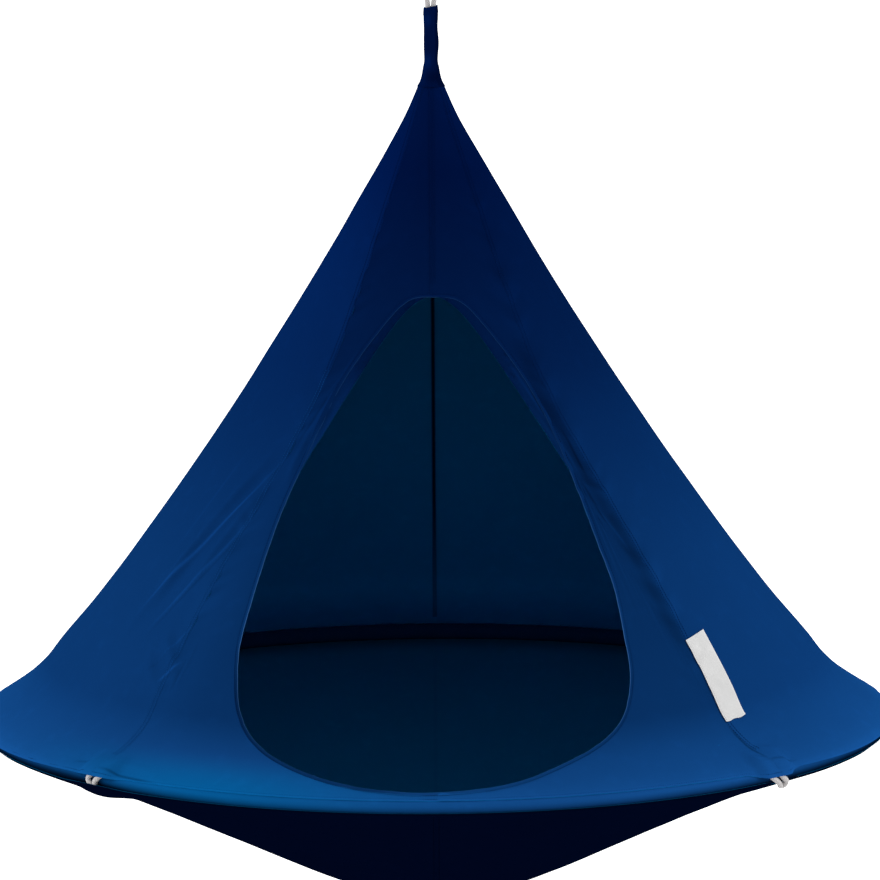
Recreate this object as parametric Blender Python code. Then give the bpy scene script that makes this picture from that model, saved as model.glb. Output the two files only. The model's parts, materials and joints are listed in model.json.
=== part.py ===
"""Hanging tent: a fabric cone over an aluminium ring, hung by rope legs from a steel ring and a snap hook.

Heights in the design are measured up from the plane of the big ring. The finished tent hangs below the
origin, which is the inside top of the snap hook's bow. Azimuths are counted in degrees from the middle of
the doorway (-Y) towards +X, so the right-hand front corner of the tent is at 45 and the left-hand at -45.
"""
import math

import bmesh
import bpy
from mathutils import Vector

# Main sizes, in metres
RING_RADIUS = 0.7345
TUBE_RADIUS = 0.0125
TUBE_WALL = 0.0015
GAP = 0.0003

# Fabric thicknesses
CANOPY_CLOTH = 0.0012
FLOOR_CLOTH = 0.0014
SLEEVE_CLOTH = 0.0010
TAPE_CLOTH = 0.0010
LABEL_CLOTH = 0.0010

# Rope and fittings
ROPE_RADIUS = 0.00425
STRAND_SPACING = 0.0090
STEEL_RING_RADIUS = 0.024
STEEL_RING_WIRE = 0.003
STEEL_RING_BOTTOM = 1.195
HOOK_ROD = 0.004
HOOK_BEND = 0.017
HOOK_HEIGHT = 0.072
RUNNING_GAP = 0.0008

# Heights that follow from the chain of fittings
STEEL_RING_TOP = STEEL_RING_BOTTOM + 2 * STEEL_RING_RADIUS
HOOK_LOW = STEEL_RING_TOP - STEEL_RING_WIRE - RUNNING_GAP - HOOK_ROD
HOOK_HIGH = HOOK_LOW + HOOK_HEIGHT
HANG_HEIGHT = HOOK_HIGH - HOOK_ROD
BIGHT_RADIUS = STEEL_RING_WIRE + RUNNING_GAP + ROPE_RADIUS
BIGHT_HEIGHT = STEEL_RING_BOTTOM + STEEL_RING_RADIUS - math.sqrt(
    STEEL_RING_RADIUS**2 - (STRAND_SPACING / 2) ** 2
)

# Radii measured from the centre line of the ring's tube
SLEEVE_INSIDE = TUBE_RADIUS + GAP + 0.0001
SLEEVE_OUTSIDE = SLEEVE_INSIDE + SLEEVE_CLOTH
CANOPY_ON_TUBE = SLEEVE_OUTSIDE + GAP + CANOPY_CLOTH / 2
FLOOR_ON_TUBE = SLEEVE_OUTSIDE + GAP + FLOOR_CLOTH / 2
ROPE_ON_TUBE = TUBE_RADIUS + 2 * GAP + ROPE_RADIUS
CANOPY_OVER_ROPE = ROPE_ON_TUBE + ROPE_RADIUS + 4 * GAP + CANOPY_CLOTH / 2

# Steps round the ring, in degrees, and how far each ferrule reaches to each side of its joint
STEP = 5.0
TUBE_SIDES = 8
FERRULE_REACH = 4.5

# Height above the ring and radius of the canopy, from the neck down to the ring
CANOPY_PROFILE = (
    (1.038, 0.0194),
    (0.977, 0.0477),
    (0.880, 0.1030),
    (0.750, 0.1790),
    (0.586, 0.2810),
    (0.421, 0.3920),
    (0.288, 0.4860),
    (0.188, 0.5630),
    (0.121, 0.6194),
    (0.087, 0.6460),
    (0.054, 0.6815),
)
CANOPY_ROWS = (1.038, 0.990, 0.900, 0.790, 0.670, 0.550, 0.440, 0.340, 0.250, 0.170, 0.108, 0.060)

# Rows of the canopy that wrap over the tube, and the angle round the tube where they begin
WRAP_ROWS = 4
TANGENT_ANGLE = 56.0

# Angle round the tube of the canopy's edge: in front, and how much lower it is at the sides and rear
EDGE_ANGLE_FRONT = 49.0
EDGE_DROP = 52.0
EDGE_DROP_FROM = 28.0
EDGE_DROP_TO = 78.0

# Soft ridge over each corner rope, as a share of the radius, fading out between two heights
RIDGE = 0.03
RIDGE_FROM = 0.03
RIDGE_TO = 0.22

# The front corner seams lean towards the doorway on their way up: a little near the ring, then more
CORNER = 45.0
FRONT_SEAM_MIDDLE = 43.3
FRONT_SEAM_HIGH = 35.0
SEAM_BEND_FROM = 0.02
SEAM_BEND_TO = 0.15
SEAM_LEAN_FROM = 0.26
SEAM_LEAN_TO = 0.68
SEAM_GAP = 0.00025

# Where the rope loops lift the canopy's edge, in degrees from the corner, and how far down round the tube
# the edge covers them
LOOP_COVER = 1.7
LOOP_COVER_END = 3.4
LOOP_EDGE_ANGLE = 4.0

# Slits in the sleeve and the floor for the rope loops, in degrees to the doorway's or rear's side and away
SLIT_NEAR = 1.5
SLIT_FAR = 2.3
SLIT_RADIUS = 0.0315
SLITS = (
    (CORNER - SLIT_NEAR, CORNER + SLIT_FAR),
    (180.0 - CORNER - SLIT_FAR, 180.0 - CORNER + SLIT_NEAR),
    (180.0 + CORNER - SLIT_NEAR, 180.0 + CORNER + SLIT_FAR),
    (360.0 - CORNER - SLIT_FAR, 360.0 - CORNER + SLIT_NEAR),
)

# Doorway outline seen from the front, as (x, height): left side down, then right side up
DOORWAY = (
    (0.000, 0.714),
    (-0.042, 0.706),
    (-0.090, 0.656),
    (-0.141, 0.587),
    (-0.180, 0.515),
    (-0.231, 0.411),
    (-0.261, 0.337),
    (-0.286, 0.264),
    (-0.304, 0.202),
    (-0.307, 0.154),
    (-0.302, 0.113),
    (-0.285, 0.082),
    (-0.250, 0.058),
    (-0.188, 0.038),
    (-0.104, 0.025),
    (0.000, 0.021),
    (0.110, 0.029),
    (0.189, 0.048),
    (0.257, 0.074),
    (0.291, 0.106),
    (0.303, 0.157),
    (0.296, 0.209),
    (0.281, 0.280),
    (0.260, 0.335),
    (0.236, 0.396),
    (0.190, 0.505),
    (0.145, 0.587),
    (0.090, 0.660),
    (0.044, 0.706),
)
BINDING_WIDTH = 0.0065
BINDING_THICKNESS = 0.0026
BINDING_CLEARANCE = 0.0008
BINDING_POINTS = 64
DOORWAY_MIDDLE = 0.3
CUTTER_NEAR = -0.9
CUTTER_FAR = -0.02

# Label sewn beside the right-hand front seam
LABEL_WIDTH = 0.050
LABEL_TOP = 0.195
LABEL_TOP_RISE = 0.008
LABEL_BOTTOM = 0.076
LABEL_BOTTOM_RISE = 0.003
LABEL_OFFSET = 0.0006

TAPE_WIDTH = 0.012
TAPE_TOP = 0.990
TAPE_CORNER_BOTTOM = 0.138
TAPE_BACK_BOTTOM = 0.060

# Floor: its depth, the radius and height of its rows, its slope at the tube, the share of its last
# stretch at which a row keeps it straight, and how far its edge wraps round the tube
FLOOR_DEPTH = 0.3405
FLOOR_ROWS = ((0.25, -0.2307), (0.45, -0.1333), (0.58, -0.0720))
FLOOR_RIM_SLOPE = 20.0
FLOOR_RIM_SHARE = 0.85
FLOOR_WRAP = 14.0
FLOOR_TAPE_REACH = 0.675
FLOOR_TAPE_MIDDLE = 0.034
FLOOR_TAPE_LIFT = 0.0004

# Neck sleeve round the rope bundle, as (height, half width)
NECK_ROWS = (
    (1.1660, 0.0106),
    (1.1500, 0.0112),
    (1.1250, 0.0107),
    (1.1000, 0.0112),
    (1.0790, 0.0104),
    (1.0660, 0.0122),
    (1.0520, 0.0152),
    (1.0395, 0.0187),
)
NECK_SIDES = 16
NECK_ROUND_BELOW = 1.040
NECK_SQUARE_ABOVE = 1.075

# Rope loops hitched round the tube. Angles run round the tube, 0 outermost and 90 on top
LOOP_HALF = 0.0098
LOOP_LEAN = 0.008
LOOP_STEP = 22.5
SPLICE_PARTING = 0.0035
TAIL_ANGLE = 322.0
LEAVE_ANGLE = 220.0
BOTTOM_ANGLE = 630.0
BAR_REACH = 33.0
BAR_STEPS = 8
LEAN_STARTS = 215.0
LEAN_FULL = 303.0
LEAN_ENDS = 395.0
EYE_CLOSED = 300.0
EYE_PARTED = 352.0

# Rope route up inside the corner seams, and through the neck; the leg's lowest stretch is clear of the cloth
ROPE_INWARD = 0.0078
ROPE_LOW_INWARD = 0.0050
ROUTE_HEIGHTS = (0.165, 0.230, 0.310, 0.400, 0.490, 0.580, 0.670, 0.760, 0.850, 0.930, 0.985)
GATHER = ((1.014, 0.0185), (1.038, 0.0110))
GATHER_AZIMUTH = 42.0
BUNDLE_HEIGHTS = (1.062, 1.085, 1.110, 1.135, 1.160)

# Rope stretches closer than this along the rope count as neighbours
NEIGHBOURS = 0.026

# Steel ring's facets
RING_AROUND = 28
RING_SIDES = 10

# Snap hook's gate, its pin and the lug that carries it
GATE_RADIUS = 0.0035
GATE_PIN_RADIUS = 0.00125
GATE_HOLE_RADIUS = 0.0016
LUG_THICKNESS = 0.0030
LUG_RADIUS = 0.0035
LUG_BELOW_BEND = 0.0050
SLOT_WIDTH = 0.0036
SLOT_ABOVE_PIN = 0.0044
GATE_BELOW_PIN = 0.0036
PIN_ABOVE_BEND = 0.0042
NOSE_BELOW_BEND = 0.0010
NOSE_GAP = 0.0005
BEND_STEPS = 12
LOW_BEND = 175.0
THROUGH = 0.02


def clear_scene() -> None:
    """Remove every object of the scene."""
    for thing in list(bpy.data.objects):
        bpy.data.objects.remove(thing, do_unlink=True)


def make_material(name: str, colour: tuple, roughness: float, metallic: float = 0.0):
    """Return a Principled material."""
    material = bpy.data.materials.new(name)
    material.use_nodes = True
    shader = material.node_tree.nodes["Principled BSDF"]
    shader.inputs["Base Color"].default_value = (*colour, 1.0)
    shader.inputs["Roughness"].default_value = roughness
    shader.inputs["Metallic"].default_value = metallic
    return material


def make_empty(name: str, height: float, parent=None):
    """Return an empty on the tent's middle line at a height of the design, for what turns about it."""
    empty = bpy.data.objects.new(name, None)
    bpy.context.scene.collection.objects.link(empty)
    empty.parent = parent
    base = parent["design_height"] if parent else HANG_HEIGHT
    empty.location = (0.0, 0.0, height - base)
    empty["design_height"] = height
    return empty


def place(name: str, mesh, material, carrier):
    """Add an object whose mesh is in design heights, carried by an empty."""
    thing = bpy.data.objects.new(name, mesh)
    bpy.context.scene.collection.objects.link(thing)
    mesh.materials.append(material)
    thing.parent = carrier
    thing.location = (0.0, 0.0, -carrier["design_height"])
    return thing


def place_mesh(name: str, shape, material, carrier, sharp: float = 40.0):
    """Turn a bmesh into a smooth-shaded object."""
    shape.normal_update()
    bmesh.ops.recalc_face_normals(shape, faces=shape.faces[:])
    mesh = bpy.data.meshes.new(name)
    shape.to_mesh(mesh)
    shape.free()
    mesh.shade_smooth()
    mesh.set_sharp_from_angle(angle=math.radians(sharp))
    return place(name, mesh, material, carrier)


def add_thickness(thing, thickness: float) -> None:
    """Give a sheet its thickness, half to each side."""
    solidify = thing.modifiers.new("thickness", "SOLIDIFY")
    solidify.thickness = thickness
    solidify.offset = 0.0
    solidify.use_even_offset = True
    solidify.use_rim = True


def cut(thing, cutter) -> None:
    """Subtract a cutter from an object."""
    boolean = thing.modifiers.new("cut", "BOOLEAN")
    boolean.operation = "DIFFERENCE"
    boolean.solver = "EXACT"
    boolean.object = cutter


def join(thing, other) -> None:
    """Unite a hidden helper body with an object."""
    boolean = thing.modifiers.new("join", "BOOLEAN")
    boolean.operation = "UNION"
    boolean.solver = "EXACT"
    boolean.object = other


def hide_helper(thing) -> None:
    """Keep a cutter or helper body out of the model."""
    thing.hide_render = True
    thing.display_type = "WIRE"


def smoothstep(low: float, high: float, value: float) -> float:
    """Return a smooth 0 to 1 ramp between two limits."""
    share = min(max((value - low) / (high - low), 0.0), 1.0)
    return share * share * (3.0 - 2.0 * share)


def cubic(before: float, start: float, end: float, after: float, share: float) -> float:
    """Return a Catmull-Rom value between start and end."""
    slope_in = (end - before) / 2.0
    slope_out = (after - start) / 2.0
    square = share * share
    cube = square * share
    return (
        (2 * cube - 3 * square + 1) * start
        + (cube - 2 * square + share) * slope_in
        + (3 * square - 2 * cube) * end
        + (cube - square) * slope_out
    )


def closed_curve(points: tuple, count: int) -> list:
    """Return evenly spaced points of a smooth closed curve through 2-D points."""
    fine = []
    total = len(points)
    for index in range(total):
        group = [points[(index + shift) % total] for shift in (-1, 0, 1, 2)]
        for part in range(8):
            fine.append(Vector([cubic(*[p[axis] for p in group], part / 8) for axis in (0, 1)]))
    lengths = [0.0]
    for index, point in enumerate(fine):
        lengths.append(lengths[-1] + (fine[(index + 1) % len(fine)] - point).length)
    result = []
    segment = 0
    for index in range(count):
        target = lengths[-1] * index / count
        while lengths[segment + 1] < target:
            segment += 1
        share = (target - lengths[segment]) / (lengths[segment + 1] - lengths[segment])
        result.append(fine[segment].lerp(fine[(segment + 1) % len(fine)], share))
    return result


def polar(radius: float, azimuth: float, height: float) -> Vector:
    """Return a point from its radius, azimuth and height."""
    angle = math.radians(azimuth)
    return Vector((radius * math.sin(angle), -radius * math.cos(angle), height))


def ring_frame(azimuth: float) -> tuple:
    """Return the centre of the ring's faceted tube and its outward direction."""
    low = math.floor(azimuth / STEP) * STEP
    share = (azimuth - low) / STEP
    centre = polar(RING_RADIUS, low, 0.0).lerp(polar(RING_RADIUS, low + STEP, 0.0), share)
    outward = polar(1.0, low, 0.0).lerp(polar(1.0, low + STEP, 0.0), share)
    return centre, outward


def round_tube(azimuth: float, radius: float, angle: float) -> Vector:
    """Return a point round the tube: angle 0 is outermost, 90 is on top."""
    centre, outward = ring_frame(azimuth)
    turn = math.radians(angle)
    return centre + outward * (radius * math.cos(turn)) + Vector((0.0, 0.0, radius * math.sin(turn)))


def profile_radius(height: float) -> float:
    """Return the canopy's radius at its sides for a height above the ring."""
    points = CANOPY_PROFILE
    if height >= points[0][0]:
        return points[0][1]
    for index in range(len(points) - 1):
        if points[index][0] >= height >= points[index + 1][0]:
            break
    before = points[max(index - 1, 0)]
    start = points[index]
    end = points[index + 1]
    after = points[min(index + 2, len(points) - 1)]
    span = end[0] - start[0]
    share = (height - start[0]) / span
    slope_in = (end[1] - before[1]) / (end[0] - before[0]) * span
    slope_out = (after[1] - start[1]) / (after[0] - start[0]) * span
    square = share * share
    cube = square * share
    return (
        (2 * cube - 3 * square + 1) * start[1]
        + (cube - 2 * square + share) * slope_in
        + (3 * square - 2 * cube) * end[1]
        + (cube - square) * slope_out
    )


def front_seam(height: float) -> float:
    """Return the azimuth of the right-hand front corner seam."""
    bend = smoothstep(SEAM_BEND_FROM, SEAM_BEND_TO, height)
    lean = smoothstep(SEAM_LEAN_FROM, SEAM_LEAN_TO, height)
    return CORNER + (FRONT_SEAM_MIDDLE - CORNER) * bend + (FRONT_SEAM_HIGH - FRONT_SEAM_MIDDLE) * lean


def rear_seam(height: float) -> float:
    """Return the azimuth of the right-hand rear corner seam."""
    return 180.0 - CORNER


def corner_share(azimuth: float, height: float) -> float:
    """Return 0 in the middle of a facet of the canopy and 1 at a corner seam."""
    turned = abs((azimuth + 180.0) % 360.0 - 180.0)
    front = front_seam(height)
    rear = rear_seam(height)
    if turned <= front:
        return turned / front
    if turned >= rear:
        return (180.0 - turned) / (180.0 - rear)
    return abs(2.0 * turned - front - rear) / (rear - front)


def canopy_radius(azimuth: float, height: float) -> float:
    """Return the canopy's radius, swollen into a soft ridge over each corner rope."""
    ridge = RIDGE * smoothstep(RIDGE_FROM, RIDGE_TO, height) * corner_share(azimuth, height) ** 3
    return profile_radius(height) * (1.0 + ridge)


def corner_distance(azimuth: float) -> float:
    """Return the degrees to the nearest of the four rope corners at the ring."""
    return abs(azimuth % 90.0 - CORNER)


def rim_angle(azimuth: float) -> float:
    """Return how far round the tube the canopy's edge reaches: high in front, low at the sides and loops."""
    turned = abs((azimuth + 180.0) % 360.0 - 180.0)
    angle = EDGE_ANGLE_FRONT - EDGE_DROP * smoothstep(EDGE_DROP_FROM, EDGE_DROP_TO, turned)
    away = smoothstep(LOOP_COVER, LOOP_COVER_END, corner_distance(azimuth))
    return min(angle, LOOP_EDGE_ANGLE) * (1.0 - away) + angle * away


def cover_radius(azimuth: float) -> float:
    """Return the canopy's distance from the tube's centre line, raised over the rope loops."""
    away = smoothstep(LOOP_COVER, LOOP_COVER_END, corner_distance(azimuth))
    return CANOPY_OVER_ROPE + (CANOPY_ON_TUBE - CANOPY_OVER_ROPE) * away


def canopy_point(azimuth_at, row: int) -> Vector:
    """Return a point of the canopy's middle surface; azimuth_at gives the azimuth for a height."""
    if row < len(CANOPY_ROWS):
        height = CANOPY_ROWS[row]
        azimuth = azimuth_at(height)
        return polar(canopy_radius(azimuth, height), azimuth, height)
    azimuth = azimuth_at(0.0)
    share = (row - len(CANOPY_ROWS)) / (WRAP_ROWS - 1)
    angle = TANGENT_ANGLE + (rim_angle(azimuth) - TANGENT_ANGLE) * share
    return round_tube(azimuth, cover_radius(azimuth), angle)


def surface_normal(azimuth: float, height: float) -> Vector:
    """Return the canopy's outward normal."""
    small = 0.5
    tall = 0.004
    across = polar(canopy_radius(azimuth + small, height), azimuth + small, height) - polar(
        canopy_radius(azimuth - small, height), azimuth - small, height
    )
    up = polar(canopy_radius(azimuth, height + tall), azimuth, height + tall) - polar(
        canopy_radius(azimuth, height - tall), azimuth, height - tall
    )
    return across.cross(up).normalized()


def faceted_radius(azimuth: float, height: float) -> float:
    """Return the radius of the canopy's flat facets between two rows."""
    for above, below in zip(CANOPY_ROWS, CANOPY_ROWS[1:]):
        if height >= below:
            break
    share = (above - height) / (above - below)
    upper = canopy_radius(azimuth, above)
    return upper + (canopy_radius(azimuth, below) - upper) * share


def surface_point(azimuth: float, height: float, outward: float) -> Vector:
    """Return a point off the canopy's middle surface."""
    base = polar(faceted_radius(azimuth, height), azimuth, height)
    return base + surface_normal(azimuth, height) * outward


def sheet_from_grid(columns: int, rows: int, point_at, closed: bool = False):
    """Return a bmesh sheet from a grid of points."""
    shape = bmesh.new()
    grid = [[shape.verts.new(point_at(column, row)) for row in range(rows)] for column in range(columns)]
    for column in range(columns if closed else columns - 1):
        following = (column + 1) % columns
        for row in range(rows - 1):
            shape.faces.new(
                (grid[column][row], grid[following][row], grid[following][row + 1], grid[column][row + 1])
            )
    return shape


def tube_from_rings(rings: list):
    """Return a closed hollow body from rings, each a list of outer and a list of inner points."""
    shape = bmesh.new()
    outer = [[shape.verts.new(point) for point in ring[0]] for ring in rings]
    inner = [[shape.verts.new(point) for point in ring[1]] for ring in rings]
    sides = len(outer[0])
    for side in range(sides):
        beside = (side + 1) % sides
        for index in range(len(rings) - 1):
            for layer in (outer, inner):
                shape.faces.new(
                    (
                        layer[index][side],
                        layer[index][beside],
                        layer[index + 1][beside],
                        layer[index + 1][side],
                    )
                )
        for index in (0, -1):
            shape.faces.new(
                (outer[index][side], outer[index][beside], inner[index][beside], inner[index][side])
            )
    return shape


def stations(start: float, end: float) -> list:
    """Return the azimuths of a stretch of ring: its two ends and the steps between."""
    first = math.floor(start / STEP) + 1
    last = math.ceil(end / STEP) - 1
    return [start] + [index * STEP for index in range(first, last + 1)] + [end]


def tube_piece(name: str, start: float, end: float, outside: float, inside: float, material, carrier):
    """Make a stretch of hollow round section along the ring."""
    rings = []
    for azimuth in stations(start, end):
        angles = [360.0 * side / TUBE_SIDES for side in range(TUBE_SIDES)]
        rings.append(
            (
                [round_tube(azimuth, outside, angle) for angle in angles],
                [round_tube(azimuth, inside, angle) for angle in angles],
            )
        )
    return place_mesh(name, tube_from_rings(rings), material, carrier, 60.0)


# Ring of four tubes with plug-in joints
def build_ring(metal, carrier) -> None:
    """Make the four quarter tubes and the four ferrules that join them."""
    half_gap = math.degrees(GAP / 2 / RING_RADIUS)
    for index, side in enumerate(("front", "right", "rear", "left")):
        centre = 90.0 * index
        tube_piece(
            f"ring_tube_{side}",
            centre - 90.0 + half_gap,
            centre - half_gap,
            TUBE_RADIUS,
            TUBE_RADIUS - TUBE_WALL,
            metal,
            carrier,
        )
        tube_piece(
            f"ring_ferrule_{side}",
            centre - FERRULE_REACH,
            centre + FERRULE_REACH,
            TUBE_RADIUS - TUBE_WALL - GAP,
            TUBE_RADIUS - 2 * TUBE_WALL - GAP,
            metal,
            carrier,
        )


def build_rim_sleeve(cloth, carrier) -> None:
    """Make the cloth channel round the tube, in four stretches between the rope loops."""
    for index, side in enumerate(("front", "right", "rear", "left")):
        start = SLITS[index - 1][1] - (360.0 if index == 0 else 0.0)
        end = SLITS[index][0]
        tube_piece(f"rim_sleeve_{side}", start, end, SLEEVE_OUTSIDE, SLEEVE_INSIDE, cloth, carrier)


# Canopy
def panel_columns(start: float, end: float) -> list:
    """Return shares 0 to 1 across a panel, closer together beside its rope corners."""
    span = end - start
    inner = [start + STEP * index for index in range(1, round(span / STEP))]
    marks = {start, end, *inner}
    for quarter in range(4):
        for away in (-LOOP_COVER_END, -LOOP_COVER, LOOP_COVER, LOOP_COVER_END):
            mark = CORNER + 90.0 * quarter + away
            if start < mark < end:
                marks.add(mark)
    return [(mark - start) / span for mark in sorted(marks)]


def seam_at(number: int):
    """Return the function of height that gives the azimuth of a numbered seam, front middle first."""
    seams = (
        lambda height: 0.0,
        front_seam,
        rear_seam,
        lambda height: 180.0,
        lambda height: 360.0 - rear_seam(height),
        lambda height: 360.0 - front_seam(height),
        lambda height: 360.0,
    )
    return seams[number]


def build_canopy_panel(name: str, number: int, cloth, carrier, cutter=None):
    """Make one canopy panel between two neighbouring seams."""
    start = seam_at(number)
    end = seam_at(number + 1)
    shares = panel_columns(start(0.0), end(0.0))

    def point_at(column: int, row: int) -> Vector:
        share = shares[column]

        def azimuth_at(height: float) -> float:
            radius = max(profile_radius(height), 0.01) if height else RING_RADIUS
            trim = math.degrees(SEAM_GAP / radius)
            low = start(height) + trim
            high = end(height) - trim
            return low + (high - low) * share

        return canopy_point(azimuth_at, row)

    sheet = sheet_from_grid(len(shares), len(CANOPY_ROWS) + WRAP_ROWS, point_at)
    panel = place_mesh(name, sheet, cloth, carrier, 60.0)
    add_thickness(panel, CANOPY_CLOTH)
    if cutter:
        cut(panel, cutter)
    return panel


def doorway_edge(x: float, height: float) -> tuple:
    """Return the point of the canopy's middle surface behind a doorway point, and its normal."""
    azimuth = math.degrees(math.asin(min(abs(x) / profile_radius(height), 0.99))) * (1 if x >= 0 else -1)
    for _ in range(12):
        radius = canopy_radius(azimuth, height)
        azimuth = math.degrees(math.asin(max(min(x / radius, 0.99), -0.99)))
    return polar(canopy_radius(azimuth, height), azimuth, height), surface_normal(azimuth, height)


def make_doorway_cutter(outline: list, carrier):
    """Make the prism that cuts the doorway out of the two front panels."""
    shape = bmesh.new()
    count = len(outline)
    grown = []
    for index, point in enumerate(outline):
        along = outline[(index + 1) % count] - outline[index - 1]
        outward = Vector((-along.y, along.x)).normalized()
        if outward.dot(point - Vector((0.0, DOORWAY_MIDDLE))) < 0.0:
            outward.negate()
        grown.append(point + outward * (BINDING_WIDTH + BINDING_CLEARANCE))
    near = [shape.verts.new((point.x, CUTTER_NEAR, point.y)) for point in grown]
    far = [shape.verts.new((point.x, CUTTER_FAR, point.y)) for point in grown]
    for index in range(count):
        following = (index + 1) % count
        shape.faces.new((near[index], near[following], far[following], far[index]))
    shape.faces.new(near)
    shape.faces.new(far)
    cutter = place_mesh("doorway_cutter", shape, bpy.data.materials["canopy_cloth"], carrier)
    hide_helper(cutter)
    return cutter


def build_door_binding(outline: list, cloth, carrier) -> None:
    """Make the folded binding that runs right round the doorway."""
    count = len(outline)
    placed = [doorway_edge(point.x, point.y) for point in outline]
    middle = sum((point for point, normal in placed), Vector()) / count
    shape = bmesh.new()
    rings = []
    for index, (point, normal) in enumerate(placed):
        along = (placed[(index + 1) % count][0] - placed[index - 1][0]).normalized()
        outward = along.cross(normal).normalized()
        if outward.dot(point - middle) < 0.0:
            outward.negate()
        half = normal * (BINDING_THICKNESS / 2)
        wide = outward * BINDING_WIDTH
        section = (point + half, point + wide + half, point + wide - half, point - half)
        rings.append([shape.verts.new(corner) for corner in section])
    for index in range(count):
        following = (index + 1) % count
        for side in range(4):
            beside = (side + 1) % 4
            shape.faces.new(
                (rings[index][side], rings[index][beside], rings[following][beside], rings[following][side])
            )
    place_mesh("door_binding", shape, cloth, carrier)


def build_seam_tape(name: str, azimuth_at, bottom: float, cloth, carrier) -> None:
    """Make the tape that covers a seam on the inside of the canopy."""
    rows = [height for height in CANOPY_ROWS if bottom < height <= TAPE_TOP] + [bottom]
    inward = CANOPY_CLOTH / 2 + GAP * 2 + TAPE_CLOTH / 2

    def point_at(column: int, row: int) -> Vector:
        height = rows[row]
        azimuth = azimuth_at(height)
        turn = math.degrees(TAPE_WIDTH / 2 / canopy_radius(azimuth, height)) * (column - 1)
        return surface_point(azimuth + turn, height, -inward)

    tape = place_mesh(name, sheet_from_grid(3, len(rows), point_at), cloth, carrier, 60.0)
    add_thickness(tape, TAPE_CLOTH)


def build_label(cloth, carrier) -> None:
    """Make the plain label beside the right-hand front seam."""
    rows = 5
    columns = 4
    outward = CANOPY_CLOTH / 2 + GAP * 2 + LABEL_CLOTH / 2

    def point_at(column: int, row: int) -> Vector:
        share = column / (columns - 1)
        top = LABEL_TOP + LABEL_TOP_RISE * share
        bottom = LABEL_BOTTOM + LABEL_BOTTOM_RISE * share
        height = top + (bottom - top) * row / (rows - 1)
        across = LABEL_OFFSET + LABEL_WIDTH * share
        azimuth = front_seam(height) + math.degrees(across / canopy_radius(CORNER, height))
        return surface_point(azimuth, height, outward)

    label = place_mesh("label", sheet_from_grid(columns, rows, point_at), cloth, carrier, 60.0)
    add_thickness(label, LABEL_CLOTH)


# Floor
def floor_columns(start: float, end: float) -> list:
    """Return the azimuths of the floor's columns, with a close pair at each side of a rope slit."""
    marks = set(stations(start, end))
    hair = 0.05
    for low, high in SLITS:
        if start < low < end:
            marks.update((low - hair, low, high, high + hair))
    return sorted(marks)


def in_slit(azimuth: float) -> bool:
    """Tell whether a column of the floor is cut back for a rope loop."""
    tolerance = 0.01
    return any(low - tolerance <= azimuth <= high + tolerance for low, high in SLITS)


def floor_height(radius: float) -> float:
    """Return the height of the floor's middle surface at a radius."""
    touch = round_tube(0.0, FLOOR_ON_TUBE, FLOOR_RIM_SLOPE - 90.0)
    rows = [(0.0, -FLOOR_DEPTH), *FLOOR_ROWS, (-touch.y, touch.z)]
    for (near, low), (far, high) in zip(rows, rows[1:]):
        if radius <= far:
            break
    return low + (high - low) * (radius - near) / (far - near)


def build_floor_half(name: str, start: float, cloth, carrier) -> None:
    """Make half of the floor's shallow cone, with its seam running from front to rear."""
    side = 1.0 if start < 90.0 else -1.0
    shift = Vector((side * SEAM_GAP, 0.0, 0.0))
    lowest = Vector((0.0, 0.0, -FLOOR_DEPTH))
    shape = bmesh.new()
    apex = shape.verts.new(lowest + shift)
    columns = []
    for azimuth in floor_columns(start, start + 180.0):
        line = [polar(radius, azimuth, height) for radius, height in FLOOR_ROWS]
        touch = round_tube(azimuth, FLOOR_ON_TUBE, FLOOR_RIM_SLOPE - 90.0)
        slope = touch - line[-1]
        if in_slit(azimuth):
            trimmed = 1.0 - SLIT_RADIUS / slope.length
            line += [line[-1] + slope * share for share in (trimmed - 0.04, trimmed - 0.02, trimmed)]
        else:
            wrapped = round_tube(azimuth, FLOOR_ON_TUBE, FLOOR_RIM_SLOPE - 90.0 + FLOOR_WRAP)
            line += [line[-1] + slope * FLOOR_RIM_SHARE, touch, wrapped]
        columns.append([shape.verts.new(point + shift) for point in line])
    for left, right in zip(columns, columns[1:]):
        shape.faces.new((apex, left[0], right[0]))
        for row in range(len(left) - 1):
            shape.faces.new((left[row], left[row + 1], right[row + 1], right[row]))
    floor = place_mesh(name, shape, cloth, carrier, 60.0)
    add_thickness(floor, FLOOR_CLOTH)


def build_floor_tape(cloth, carrier) -> None:
    """Make the tape that covers the floor's seam on the upper side."""
    raise_by = FLOOR_CLOTH / 2 + GAP * 2 + TAPE_CLOTH / 2
    slope = FLOOR_DEPTH / RING_RADIUS
    lift = raise_by * math.sqrt(1.0 + slope * slope) + FLOOR_TAPE_LIFT
    radii = [FLOOR_TAPE_MIDDLE] + [radius for radius, _ in FLOOR_ROWS] + [FLOOR_TAPE_REACH]
    spots = [-radius for radius in reversed(radii)] + radii

    def point_at(column: int, row: int) -> Vector:
        x = (column - 1) * TAPE_WIDTH / 2
        return Vector((x, spots[row], floor_height(math.hypot(x, spots[row])) + lift))

    sheet = sheet_from_grid(3, len(spots), point_at)
    tape = place_mesh("floor_seam_tape", sheet, cloth, carrier, 60.0)
    add_thickness(tape, TAPE_CLOTH)


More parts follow.
